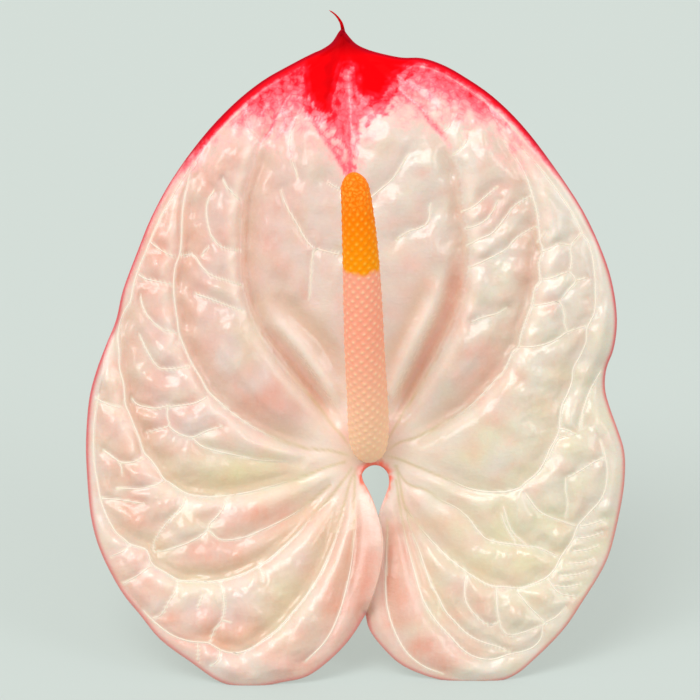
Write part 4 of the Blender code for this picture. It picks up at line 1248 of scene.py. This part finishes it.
    def point(self) -> bpy.types.Object:
        """The drawn-out point at the tip: a tube that narrows and bends away to the left.

        Returns:
            The piece.
        """
        path = spline(self.point_path, 8)
        base = self.form.survey(np.clip(path[:, :2], -90, 87), np.full(len(path), -1)).depth
        path[:, 2] += base - 0.35
        share = np.linspace(0, 1, len(path))
        radii = self.point_radii[0] + (self.point_radii[1] - self.point_radii[0]) * share**0.7
        rings = tube_rings(path, radii * np.clip(14 * (1 - share) + 0.15, 0, 1), self.point_sides)
        points = np.vstack([rings.reshape(-1, 3), path[:1], path[-1:]])
        along = np.concatenate([np.repeat(share, self.point_sides), [0, 1]])
        names = self.paint.values(self.form.survey(path[:1, :2], np.full(1, -1)))
        values = {name: np.zeros(len(points)) for name in names}
        values["redness"] = np.ones(len(points))
        # Deep red along the point, partly painted shade.
        values["deep"] = np.clip(1 - 0.55 * np.abs(along - 0.35) / 0.65, 0, 1)
        values["back"] = np.zeros(len(points))
        return made_mesh("spathe_point", FACE.place(points), tube_faces(len(path), self.point_sides), values)


@dataclass
class Spadix:
    """The spike: a tapered column set with florets in a diamond lattice, ripe and orange at its end.

    Sizes are in mm. The taper is how much thinner the tip is and over what length that fades, and the
    foot is its share of the radius and the length over which the column widens to all of it.
    """

    line: Line = (
        (-0.6, 3.4, -0.4), (-0.6, 4.2, 3.2), (-0.7, 6.6, 6.4), (-0.9, 12.6, 11.2), (-1.5, 22.4, 17.2),
        (-1.9, 32.4, 22.2), (-2.4, 42.4, 26.6), (-3.1, 51.6, 29.9), (-3.9, 57.6, 31.6),
    )
    radius: float = 4.08
    taper: tuple[float, float] = (1.6, 17.0)
    dome: float = 3.4
    foot: tuple[float, float] = (0.42, 10.5)
    florets_around: int = 12
    floret_pitch: float = 1.95
    floret_twist: float = -0.12
    floret_height: float = 0.05
    stigma_height: float = 0.13
    stigma_width: float = 0.28
    stigma_stretch: float = 1.25
    ripe_above: float = 39.2
    sides: int = 168
    body_rows: int = 400
    dome_rows: int = 44

    def build(self) -> bpy.types.Object:
        """The column with its florets.

        The radius is a tapered body, drawn in at the foot and closed by a quarter circle at the tip.
        On it stands the lattice. With b the length counted in pitches, and a the turn counted in
        florets plus a share of b as twist, a floret's rise is the square root of the size of
        cos pi(a + b) times cos pi(a - b). A small bell at the middle of each floret is its stigma.

        Returns:
            The piece that stands for the spadix's solid.
        """
        curve = spline(self.line, 12)
        length = lengths_along(curve)[-1]
        body = np.linspace(0, length - self.dome, self.body_rows, endpoint=False)
        turn = np.linspace(0, math.pi / 2, self.dome_rows, endpoint=False)
        from_seat = np.concatenate([body, length - self.dome * (1 - np.sin(turn))])
        from_tip = length - from_seat
        radii = self.radius - self.taper[0] * np.exp(-from_tip / self.taper[1])
        radii *= rounded(from_tip / self.dome)
        radii *= self.foot[0] + (1 - self.foot[0]) * rounded(from_seat / self.foot[1])

        around = np.arange(self.sides) * self.florets_around / self.sides
        a, b = np.meshgrid(around, from_seat / self.floret_pitch)
        a += self.floret_twist * b
        u, v = a + b, a - b
        rise = np.sqrt(np.abs(np.cos(math.pi * u) * np.cos(math.pi * v)))
        centre_u, centre_v = np.round(u), np.round(v)
        wide, high = (u - centre_u) + (v - centre_v), (u - centre_u) - (v - centre_v)
        spacing = 2 * math.pi * self.radius / self.florets_around / self.stigma_stretch
        stigma = bell(np.hypot(wide * spacing, high * self.floret_pitch) / 2, self.stigma_width)
        fade = smoothstep(1.0, 4.0, from_seat) * smoothstep(0, 3.0, from_tip)
        fade *= 0.5 + 0.5 * radii / self.radius
        height = (self.floret_height * (rise - 0.6) + self.stigma_height * stigma) * fade[:, None]

        rings = tube_rings(at_lengths(curve, from_seat), radii[:, None] + height, self.sides)
        ends = at_lengths(curve, np.array([0, length]))
        points = np.vstack([rings.reshape(-1, 3), ends])

        floret_along = (centre_u - centre_v) / 2 * self.floret_pitch
        floret_y = at_lengths(curve, np.clip(floret_along, 0, length).ravel())[:, 1]
        chance = np.sin(centre_u * 12.9 + centre_v * 78.2).ravel() * 43758.5
        chance = chance - np.floor(chance)
        own_y = np.repeat(at_lengths(curve, from_seat)[:, 1], self.sides)
        ripe = smoothstep(-0.5, 0.5, 0.25 * floret_y + 0.75 * own_y - self.ripe_above + 0.7 * (chance - 0.5))
        values = {
            "ripe": np.append(ripe, (0, 1)),
            "rise": np.append((rise * fade[:, None]).ravel(), (0, 1)),
            "stigma": np.append((stigma * fade[:, None]).ravel(), (0, 0)),
            "height_share": np.append(np.repeat(from_seat / length, self.sides), (0, 1)),
            "floret": np.append(chance, (0.5, 0.5)),
        }
        faces = tube_faces(len(rings), self.sides)
        return made_mesh("spadix_florets", FACE.place(points), faces, values)


@dataclass
class Stalk:
    """The flower stalk: from its collar behind the blade down to the surface, and along it to the cut.

    Sizes are in mm. touches_down holds how far behind the face frame's origin the curve's third corner
    and its end are.
    """

    junction: tuple[float, float] = (-0.6, 3.4)
    starts_behind: float = 1.25
    leaves_blade: float = 58.0
    touches_down: tuple[float, float] = (135.0, 215.0)
    length: float = 300.0
    radius_top: float = 2.8
    radius_cut: float = 3.4
    collar: float = 0.4
    cut_slant: float = math.radians(35)
    cut_edge: float = 0.985
    cut_dish: float = 0.12
    reach_into_blade: float = 0.55
    solid_sides: int = 16
    sides: int = 56
    arch_rings: int = 330
    lying_rings: int = 130
    cut_rings: int = 9

    def path(self) -> tuple[Array, float]:
        """The centre line: a cubic curve down to the surface, then straight along it.

        The curve weighs four corners by (1-s) cubed, 3s(1-s) squared, 3s squared (1-s) and s cubed, with
        s the share of it. It lies as high as the middle of the solid, which rests on a flat side.

        Returns:
            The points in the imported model's frame, in mm, and the length of the curved part.
        """
        joint = np.array([(*self.junction, -self.starts_behind), (*self.junction, -self.reach_into_blade)])
        start, seat = FACE.place(joint) / MM
        lying = self.radius_cut * math.cos(math.pi / self.solid_sides)
        pull, landing = (each + FACE.origin[1] for each in self.touches_down)
        away = start + FACE.back * self.leaves_blade
        corners = (start, away, (start[0], pull, lying), (start[0], landing, lying))
        share = np.linspace(0, 1, self.arch_rings)[:, None]
        weights = ((1 - share) ** 3, 3 * (1 - share) ** 2 * share, 3 * (1 - share) * share**2, share**3)
        arch = sum(weight * np.asarray(corner) for weight, corner in zip(weights, corners))
        arch_length = lengths_along(arch)[-1]
        cut = landing + self.length - arch_length
        run = np.linspace(landing, cut, self.lying_rings)[1:]
        lying_run = np.column_stack([np.full(len(run), start[0]), run, np.full(len(run), lying)])
        return np.vstack([seat, arch, lying_run]), arch_length

    def build(self) -> bpy.types.Object:
        """The stalk with its collar and its slanting cut.

        The radius grows slowly from the collar to the cut, with a flare at the collar that dies off
        over 4 mm and faint waves along its length. The cut face is rings of shrinking radius.

        Returns:
            The piece that stands for the stalk's solid.
        """
        path, arch_length = self.path()
        done = lengths_along(path)
        radii = self.radius_top + (self.radius_cut - self.radius_top) * smoothstep(0, arch_length, done)
        radii += self.collar * np.exp(-done / 4)
        radii += 0.03 * np.sin(done / 9) + 0.02 * np.sin(done / 3.7 + 1)
        angle = np.arange(self.sides) * 2 * math.pi / self.sides
        ridges = 0.02 * np.cos(9 * angle)[None] + 0.015 * np.cos(17 * angle[None] + done[:, None] / 40)
        rings = tube_rings(path, np.minimum(radii[:, None] + ridges, self.radius_cut), self.sides)
        rings[0] -= ((rings[0] - path[0]) @ FACE.back)[:, None] * FACE.back

        centre = path[-1]
        slant = (rings[-1, :, 2] - centre[2]) * math.tan(self.cut_slant)
        rings[-1, :, 1] -= slant
        share = np.linspace(1, 0, self.cut_rings + 1)[:-1]
        share[0] = self.cut_edge
        face = centre + (rings[-1] - centre)[None] * share[:, None, None]
        face[1:, :, 1] -= self.cut_dish * (1 - share[1:, None] ** 2)
        points = np.vstack([rings.reshape(-1, 3), face.reshape(-1, 3), path[:1], face[-1].mean(0)[None]])

        ring_count, on_cut = len(rings) + len(face), len(face) * self.sides
        along = np.concatenate([np.repeat(done / done[-1], self.sides), np.ones(on_cut), [0, 1]])
        across = np.concatenate([np.ones(rings[:, :, 0].size), np.repeat(share, self.sides), [1, 0]])
        cut = np.concatenate([np.zeros(rings[:, :, 0].size), np.ones(on_cut), [0, 1]])
        cut[len(rings) * self.sides:len(rings) * self.sides + self.sides] = 0.6
        values = {"along": along, "across": across, "cut": cut}
        return made_mesh("stalk_skin", points * MM, tube_faces(ring_count, self.sides), values)


class Value:
    """One number that varies over a surface, with its arithmetic written as Python operators."""

    def __init__(self, book: NodeBook, socket: bpy.types.NodeSocket) -> None:
        """Wraps an output socket of the book's node tree."""
        self.book, self.socket = book, socket

    def _math(self, operation: str, *terms: Value | float) -> Value:
        """One Math node on these terms."""
        made = self.book.node("ShaderNodeMath", {"operation": operation}, dict(enumerate(terms)))
        return Value(self.book, made.outputs[0])

    def __add__(self, other: Value | float) -> Value:
        """The sum."""
        return self._math("ADD", self, other)

    def __sub__(self, other: Value | float) -> Value:
        """The difference."""
        return self._math("SUBTRACT", self, other)

    def __rsub__(self, other: float) -> Value:
        """The difference from a plain number."""
        return self._math("SUBTRACT", other, self)

    def __mul__(self, other: Value | float) -> Value:
        """The product."""
        return self._math("MULTIPLY", self, other)

    __radd__, __rmul__ = __add__, __mul__

    def step(self, low: float, high: float) -> Value:
        """0 below low, 1 above high, smooth between them."""
        made = self.book.node(
            "ShaderNodeMapRange", {"interpolation_type": "SMOOTHSTEP"},
            {"Value": self, "From Min": low, "From Max": high},
        )
        return Value(self.book, made.outputs["Result"])

    def clamped(self) -> Value:
        """Kept between 0 and 1."""
        return Value(self.book, self.book.node("ShaderNodeClamp", {}, {"Value": self}).outputs[0])


class NodeBook:
    """One material's nodes."""

    def __init__(self, name: str) -> None:
        """Starts an empty material."""
        self.material = bpy.data.materials.new(name)
        self.material.use_nodes = True
        self.tree = self.material.node_tree
        self.tree.nodes.clear()
        self.place = self.node("ShaderNodeTexCoord", {}, {}).outputs["Object"]

    def node(self, kind: str, settings: dict[str, object], inputs: dict[str | int, object]) -> bpy.types.Node:
        """Adds one node.

        Args:
            kind: The node's type.
            settings: Its own settings, set first. "stops" are a ramp's pairs of place and colour.
            inputs: Values or links of its sockets, by name or number.

        Returns:
            The node.
        """
        made = self.tree.nodes.new(kind)
        for name, setting in settings.items():
            if name == "stops":
                self._stops(made.color_ramp, setting)
            else:
                setattr(made, name, setting)
        for key, given in inputs.items():
            socket = made.inputs[key]
            source = given.socket if isinstance(given, Value) else given
            if isinstance(source, bpy.types.NodeSocket):
                self.tree.links.new(source, socket)
            else:
                socket.default_value = source
        return made

    @staticmethod
    def _stops(ramp: bpy.types.ColorRamp, stops: Stops) -> None:
        """Gives a ramp these stops.

        Args:
            ramp: The ramp.
            stops: The stops, from the first place to the last.
        """
        while len(ramp.elements) > 1:
            ramp.elements.remove(ramp.elements[-1])
        ramp.elements[0].position, ramp.elements[0].color = stops[0]
        for position, colour in stops[1:]:
            ramp.elements.new(position).color = colour

    def attribute(self, name: str) -> Value:
        """The piece's own number at each vertex."""
        made = self.node("ShaderNodeAttribute", {"attribute_name": name}, {})
        return Value(self, made.outputs["Fac"])

    def noise(self, grain: float, detail: float = 2.0, roughness: float = 0.5,
              stretch: tuple[float, float, float] = (1, 1, 1)) -> Value:
        """Noise whose features have one size.

        Args:
            grain: The features' size, in mm.
            detail: How many finer octaves it has.
            roughness: How strong they are.
            stretch: How many times longer the features are along x, y and z.

        Returns:
            The noise, from about 0 to 1.
        """
        scale = tuple(1 / each for each in stretch)
        moved = self.node("ShaderNodeMapping", {}, {"Vector": self.place, "Scale": scale})
        made = self.node(
            "ShaderNodeTexNoise", {},
            {"Vector": moved.outputs[0], "Scale": 1 / (grain * MM), "Detail": detail, "Roughness": roughness},
        )
        return Value(self, made.outputs["Fac"])

    def mix(self, share: Value | float, below: object, above: object) -> bpy.types.NodeSocket:
        """A colour between two colours."""
        settings = {"data_type": "RGBA", "clamp_factor": True}
        return self.node("ShaderNodeMix", settings, {0: share, 6: below, 7: above}).outputs[2]

    def ramp(self, share: Value, stops: Stops) -> bpy.types.NodeSocket:
        """A colour from a ramp."""
        return self.node("ShaderNodeValToRGB", {"stops": stops}, {"Fac": share}).outputs["Color"]

    def bump(self, height: Value, distance: float) -> bpy.types.NodeSocket:
        """A normal from a height whose full swing is this many mm."""
        given = {"Height": height, "Distance": distance * MM, "Strength": 1.0}
        return self.node("ShaderNodeBump", {}, given).outputs["Normal"]

    def net(self, cell: float, width: float) -> Value:
        """1 on the threads of an irregular net, whose cells have this size in mm, and 0 between them.

        Args:
            cell: The size of its cells, in mm.
            width: The share of a cell over which a thread fades out.

        Returns:
            The net, bent by noise.
        """
        bend = self.node("ShaderNodeTexNoise", {}, {"Vector": self.place, "Scale": 1 / (cell * MM)})
        offset = self.node(
            "ShaderNodeVectorMath", {"operation": "MULTIPLY_ADD"},
            {0: bend.outputs["Color"], 1: (0.8 * cell * MM,) * 3, 2: self.place},
        )
        made = self.node(
            "ShaderNodeTexVoronoi", {"feature": "DISTANCE_TO_EDGE"},
            {"Vector": offset.outputs[0], "Scale": 1 / (cell * MM)},
        )
        return 1 - Value(self, made.outputs["Distance"]).step(0, width)

    def shader(self, **sockets: object) -> bpy.types.NodeSocket:
        """A Principled shader with these sockets, named with _ for a space."""
        given = {name.replace("_", " "): value for name, value in sockets.items()}
        return self.node("ShaderNodeBsdfPrincipled", {}, given).outputs[0]

    def blend(self, share: Value, below: object, above: object) -> bpy.types.NodeSocket:
        """A shader between two shaders."""
        return self.node("ShaderNodeMixShader", {}, {0: share, 1: below, 2: above}).outputs[0]

    def finish(self, surface: bpy.types.NodeSocket) -> bpy.types.Material:
        """Ends the material in this shader."""
        self.node("ShaderNodeOutputMaterial", {}, {"Surface": surface})
        return self.material


@dataclass(frozen=True)
class SpatheFinish:
    """Waxy cream with painted shade, pink in the deep hollows, and painted light on flanks and crests; red at
    the tip, with paler veins and a red edge.
    """

    left_cream: Colour = srgb(219, 200, 191)
    right_cream: Colour = srgb(214, 207, 196)
    blush: Colour = srgb(228, 164, 145)
    shadow: Colour = srgb(192, 132, 108)
    green: Colour = srgb(216, 210, 170)
    # Painted shade in the dips of the steps, above the notch and below it.
    dim: Colour = srgb(212, 180, 158)
    dip_shade_low: Colour = srgb(210, 188, 154)
    # Painted shade in the deep hollows.
    hollow_shade: Colour = srgb(220, 160, 136)
    # Painted shade in the shallow hollows.
    valley: Colour = srgb(208, 182, 158)
    # Painted light on flanks, crests and round the stalk's seat.
    lee: Colour = srgb(255, 234, 222)
    vein: Colour = srgb(250, 240, 224)
    olive: Colour = srgb(196, 184, 124)
    rim: Colour = srgb(200, 45, 68)
    rim_pale: Colour = srgb(205, 130, 125)
    notch: Colour = srgb(255, 72, 26)
    crimson: Colour = srgb(158, 8, 30)
    # Deep red, partly painted shade.
    deep_red_and_shade: Colour = srgb(156, 0, 8)
    back_tint: Colour = srgb(255, 243, 232)
    back_red: Colour = srgb(236, 44, 62)
    reds: Stops = (
        (0.0, srgb(255, 205, 198)), (0.25, srgb(253, 178, 175)), (0.5, srgb(255, 106, 122)),
        (0.75, srgb(255, 34, 54)), (1.0, srgb(251, 0, 8)),
    )
    roughness: float = 0.27
    attributes: tuple[str, ...] = (
        "redness", "deep", "blush", "shadow", "green", "rightness", "low", "dim", "shade", "lee", "valley",
        "vein", "olive", "rim", "rim_red", "notch", "back",
    )

    def material(self, name: str, scattering: float) -> bpy.types.Material:
        """The finish as a material that reads the blade's attributes.

        Args:
            name: The material's name.
            scattering: How much of the light scatters below the skin: none in the fine ribs.

        Returns:
            The material.
        """
        book = NodeBook(name)
        read = {each: book.attribute(each) for each in self.attributes}
        fine, broad = book.noise(1.1, 3.0, 0.6), book.noise(6.0, 2.0)
        streak = book.noise(1.6, 3.0, 0.65, (1, 2.4, 3.2))

        colour = book.mix(read["rightness"], self.left_cream, self.right_cream)
        colour = book.mix(read["green"] * (0.6 + 0.8 * broad), colour, self.green)
        colour = book.mix((read["blush"] * (0.35 + 1.1 * streak)).clamped(), colour, self.blush)
        colour = book.mix(read["shadow"] * 0.6, colour, self.shadow)
        # Painted shade in the shallow hollows.
        colour = book.mix(read["valley"] * 0.85, colour, self.valley)
        # Painted shade in the dip of each step.
        colour = book.mix(read["dim"] * 0.6, colour, book.mix(read["low"], self.dim, self.dip_shade_low))
        # Painted shade in the deep hollows.
        colour = book.mix((read["shade"] * 0.6).clamped(), colour, self.hollow_shade)
        # Painted light on flanks, crests and round the stalk's seat.
        colour = book.mix((read["lee"] * 0.75).clamped(), colour, self.lee)
        colour = book.mix(read["olive"] * 0.5, colour, self.olive)
        colour = book.mix(read["vein"] * 0.85, colour, self.vein)
        swing = read["redness"] * (1 - read["redness"])
        mottle = 1.3 * (streak - 0.5) + 1.1 * (fine - 0.5) + 0.35 * book.net(1.5, 0.22)
        ragged = (read["redness"] + swing * mottle).clamped()
        colour = book.mix(ragged.step(0.02, 0.3), colour, book.ramp(ragged, self.reds))
        # Deep red at the tip and in the dark streak, partly painted shade.
        colour = book.mix((read["deep"] * 0.85 * read["redness"]).clamped(), colour, self.deep_red_and_shade)
        edge = book.mix(read["rim_red"], self.rim_pale, self.rim)
        edge = book.mix(read["redness"], edge, self.crimson)
        colour = book.mix(read["rim"] * 0.9, colour, edge)
        colour = book.mix(read["notch"] * 0.85, colour, self.notch)
        behind = book.mix(0.6, colour, self.back_tint)
        behind = book.mix(read["redness"] * 0.85, behind, self.back_red)
        colour = book.mix(read["back"], colour, behind)

        height = book.noise(2.6, 2.0) * 0.7 + book.noise(0.55, 1.5, 0.5, (2.2, 1, 1)) * 0.35
        rough = self.roughness + 0.12 * (fine - 0.5) + 0.2 * read["back"]
        normal = book.bump(height, 0.18)
        wax = book.shader(
            Base_Color=colour, Roughness=rough.clamped(), Normal=normal,
            IOR=1.28, Coat_Weight=(0.72 - 0.4 * read["back"]).clamped(), Coat_Roughness=0.16,
            Subsurface_Weight=scattering, Subsurface_Radius=(1.0, 0.45, 0.3), Subsurface_Scale=0.0025,
        )
        satin = book.shader(Base_Color=colour, Roughness=0.5, Normal=normal, IOR=1.08)
        return book.finish(book.blend(ragged.step(0.4, 0.85), wax, satin))


@dataclass(frozen=True)
class SpadixFinish:
    """Florets from peach at the foot to salmon, then orange ones at the ripe end, with pale stigmas, painted
    shade between the florets and a painted highlight on the dome's top.
    """

    salmon: Colour = srgb(255, 166, 138)
    peach: Colour = srgb(255, 208, 172)
    # Painted shade between the florets.
    salmon_crevice_shade: Colour = srgb(254, 144, 112)
    orange: Colour = srgb(255, 160, 0)
    # Deeper orange towards the tip, and painted shade between the ripe florets.
    deep_orange_and_crevice_shade: Colour = srgb(255, 116, 0)
    stigma: Colour = srgb(255, 214, 172)
    ripe_stigma: Colour = srgb(255, 190, 70)

    def material(self) -> bpy.types.Material:
        """The finish as a material that reads the spadix's attributes.

        Returns:
            The material.
        """
        book = NodeBook("spadix_florets")
        ripe, rise, stigma, up, floret = (
            book.attribute(name) for name in ("ripe", "rise", "stigma", "height_share", "floret"))
        grain = book.noise(0.35, 2.0)
        body = book.mix(up.step(0.05, 0.55), self.peach, self.salmon)
        # Painted shade between the florets.
        body = book.mix((1 - rise) * 0.08, body, self.salmon_crevice_shade)
        body = book.mix(stigma * (0.4 + 0.45 * floret), body, self.stigma)
        tip = book.mix(up.step(0.6, 1.0), self.orange, self.deep_orange_and_crevice_shade)
        # Painted shade between the ripe florets.
        tip = book.mix((1 - rise) * 0.15, tip, self.deep_orange_and_crevice_shade)
        tip = book.mix(stigma * (0.25 + 0.6 * floret), tip, self.ripe_stigma)
        # Painted highlight: pale squiggles on the ripe dome's top.
        dome_highlight = (1 - book.net(0.9, 0.3)) * up.step(0.86, 0.94)
        tip = book.mix(dome_highlight * 0.35, tip, self.ripe_stigma)
        colour = book.mix(ripe, body, tip)
        return book.finish(book.shader(
            Base_Color=colour, Roughness=0.36 + 0.14 * grain, Normal=book.bump(grain, 0.05),
            IOR=1.12, Subsurface_Weight=0.2, Subsurface_Radius=(1.0, 0.4, 0.2), Subsurface_Scale=0.0012,
            Coat_Weight=0.05, Coat_Roughness=0.25,
        ))


@dataclass(frozen=True)
class StalkFinish:
    """Green with a pink-brown blush at the collar, fine streaks, and a pale cut face."""

    green: Colour = srgb(138, 152, 84)
    light: Colour = srgb(176, 184, 118)
    blush: Colour = srgb(188, 128, 96)
    pith: Colour = srgb(214, 220, 178)
    bundle: Colour = srgb(150, 160, 96)
    bark: Colour = srgb(96, 112, 58)

    def material(self) -> bpy.types.Material:
        """The finish as a material that reads the stalk's attributes.

        Returns:
            The material.
        """
        book = NodeBook("stalk_skin")
        along, across, cut = (book.attribute(name) for name in ("along", "across", "cut"))
        streak, speck = book.noise(0.7, 3.0, 0.6, (1, 12, 3)), book.noise(0.5, 1.0)
        skin = book.mix(streak.step(0.35, 0.75), self.green, self.light)
        skin = book.mix((1 - along.step(0.0, 0.14)) * 0.8, skin, self.blush)
        skin = book.mix(speck.step(0.62, 0.72) * 0.35, skin, self.bark)
        made = book.node("ShaderNodeTexVoronoi", {}, {"Vector": book.place, "Scale": 1 / (0.85 * MM)})
        dots = 1 - Value(book, made.outputs["Distance"]).step(0.16, 0.3)
        inside = book.mix(dots * 0.7, self.pith, self.bundle)
        inside = book.mix(across.step(0.84, 0.97), inside, self.bark)
        colour = book.mix(cut, skin, inside)
        height = streak * 0.7 + speck * 0.3
        return book.finish(book.shader(
            Base_Color=colour, Roughness=0.34 + 0.2 * speck + 0.2 * cut, Normal=book.bump(height, 0.07),
            IOR=1.45, Subsurface_Weight=0.12, Subsurface_Radius=(0.6, 0.9, 0.3), Subsurface_Scale=0.0012,
            Coat_Weight=0.15, Coat_Roughness=0.3,
        ))


@dataclass(frozen=True)
class SoftLight:
    """A far, soft light: where it stands from the blade, how wide it looks in radians, and its strength.

    The heading counts right, up the blade and out of it.
    """

    name: str
    heading: tuple[float, float, float]
    width: float
    strength: float


@dataclass
class Studio:
    """The floor, the lights, the sky and the camera.

    The target is in the blade's face frame, in mm. The camera's distance, the width of its view and the
    floor's size are in metres, and the sensor is in mm. The sky is its colour and its strength.
    """

    target: tuple[float, float, float] = (-4.4, 23.2, 0.0)
    camera_distance: float = 1.0
    view_width: float = 0.140
    sensor: float = 36.0
    floor_size: float = 6.0
    floor_colour: Colour = srgb(140, 149, 146)
    floor_glow: Colour = srgb(153, 160, 156)
    sky: tuple[tuple[float, float, float, float], float] = ((1.0, 0.955, 0.92, 1.0), 0.78)
    lights: tuple[SoftLight, ...] = (
        SoftLight("key", (-0.3, 0.78, 0.9), math.radians(28), 0.98),
        SoftLight("left", (-0.75, 0.55, 0.8), math.radians(26), 0.6),
        SoftLight("right", (0.8, 0.5, 0.8), math.radians(26), 0.42),
    )

    def directions(self) -> tuple[Vector, Vector, Vector, Vector]:
        """The camera's aim and its axes.

        Returns:
            The middle of the picture, and the directions right, up the blade and out of it.
        """
        ends = FACE.place(np.array([self.target, (0, 0, 0), (1, 0, 0), (0, 1, 0), (0, 0, 1)], float))
        right, up, out = (Vector((end - ends[1]) / MM) for end in ends[2:])
        return Vector(ends[0]), right, up, out

    def build(self) -> None:
        """Makes the floor, the lights, the sky and the camera."""
        target, right, up, out = self.directions()
        self.floor()
        for light in self.lights:
            lamp = bpy.data.lights.new(light.name, "SUN")
            lamp.energy, lamp.angle = light.strength, light.width
            made = bpy.data.objects.new(lamp.name, lamp)
            away = sum((axis * share for axis, share in zip((right, up, out), light.heading)), Vector())
            facing = away.to_track_quat("Z", "Y").to_matrix().to_4x4()
            made.matrix_world = Matrix.Translation(target + away) @ facing
            bpy.context.scene.collection.objects.link(made)
        world = bpy.data.worlds.new("sky")
        world.use_nodes = True
        shine = world.node_tree.nodes["Background"]
        shine.inputs["Color"].default_value, shine.inputs["Strength"].default_value = self.sky
        bpy.context.scene.world = world

        data = bpy.data.cameras.new("camera")
        data.sensor_width = self.sensor
        data.lens = self.sensor * self.camera_distance / self.view_width
        data.clip_end = 12
        camera = bpy.data.objects.new("camera", data)
        turn = Matrix((right, up, out)).transposed().to_4x4()
        camera.matrix_world = Matrix.Translation(target + out * self.camera_distance) @ turn
        bpy.context.scene.collection.objects.link(camera)
        bpy.context.scene.camera = camera
        bpy.context.scene.view_settings.view_transform = "Standard"

    def floor(self) -> None:
        """The plain pale surface that the flower lies on, half lit from within so that shadows stay faint."""
        half = self.floor_size / 2
        corners = np.array([(-half, -half, 0), (half, -half, 0), (half, half, 0), (-half, half, 0)])
        plane = made_mesh("floor", corners, [np.array([[0, 1, 2, 3]])], outward=False)
        book = NodeBook("floor")
        plane.data.materials.append(book.finish(book.shader(
            Base_Color=self.floor_colour, Roughness=0.9, IOR=1.3,
            Emission_Color=self.floor_glow, Emission_Strength=1.0)))


def dress(piece: bpy.types.Object, finish: bpy.types.Material, node: str | None = None) -> None:
    """Gives a piece its finish and its body, and hides the node that it stands for, where it has one.

    Args:
        piece: The piece.
        finish: Its material.
        node: The node that it replaces.
    """
    piece.data.materials.append(finish)
    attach(piece, "root")
    if node:
        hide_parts(node)
    LOG.info("%s: %d faces", piece.name, len(piece.data.polygons))


def main() -> None:
    """Builds the studio and every piece."""
    logging.basicConfig(level=logging.INFO, format="%(message)s")
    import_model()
    Studio().build()

    waxy = SpatheFinish().material("waxy_spathe", 0.4)
    spathe = Spathe()
    dress(spathe.skin(), waxy, "spathe")
    dress(spathe.ribs(), SpatheFinish().material("spathe_veins", 0.0))
    dress(spathe.point(), waxy)
    dress(Spadix().build(), SpadixFinish().material(), "spadix")
    dress(Stalk().build(), StalkFinish().material(), "stalk")

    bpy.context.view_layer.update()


if __name__ == "__main__":
    main()
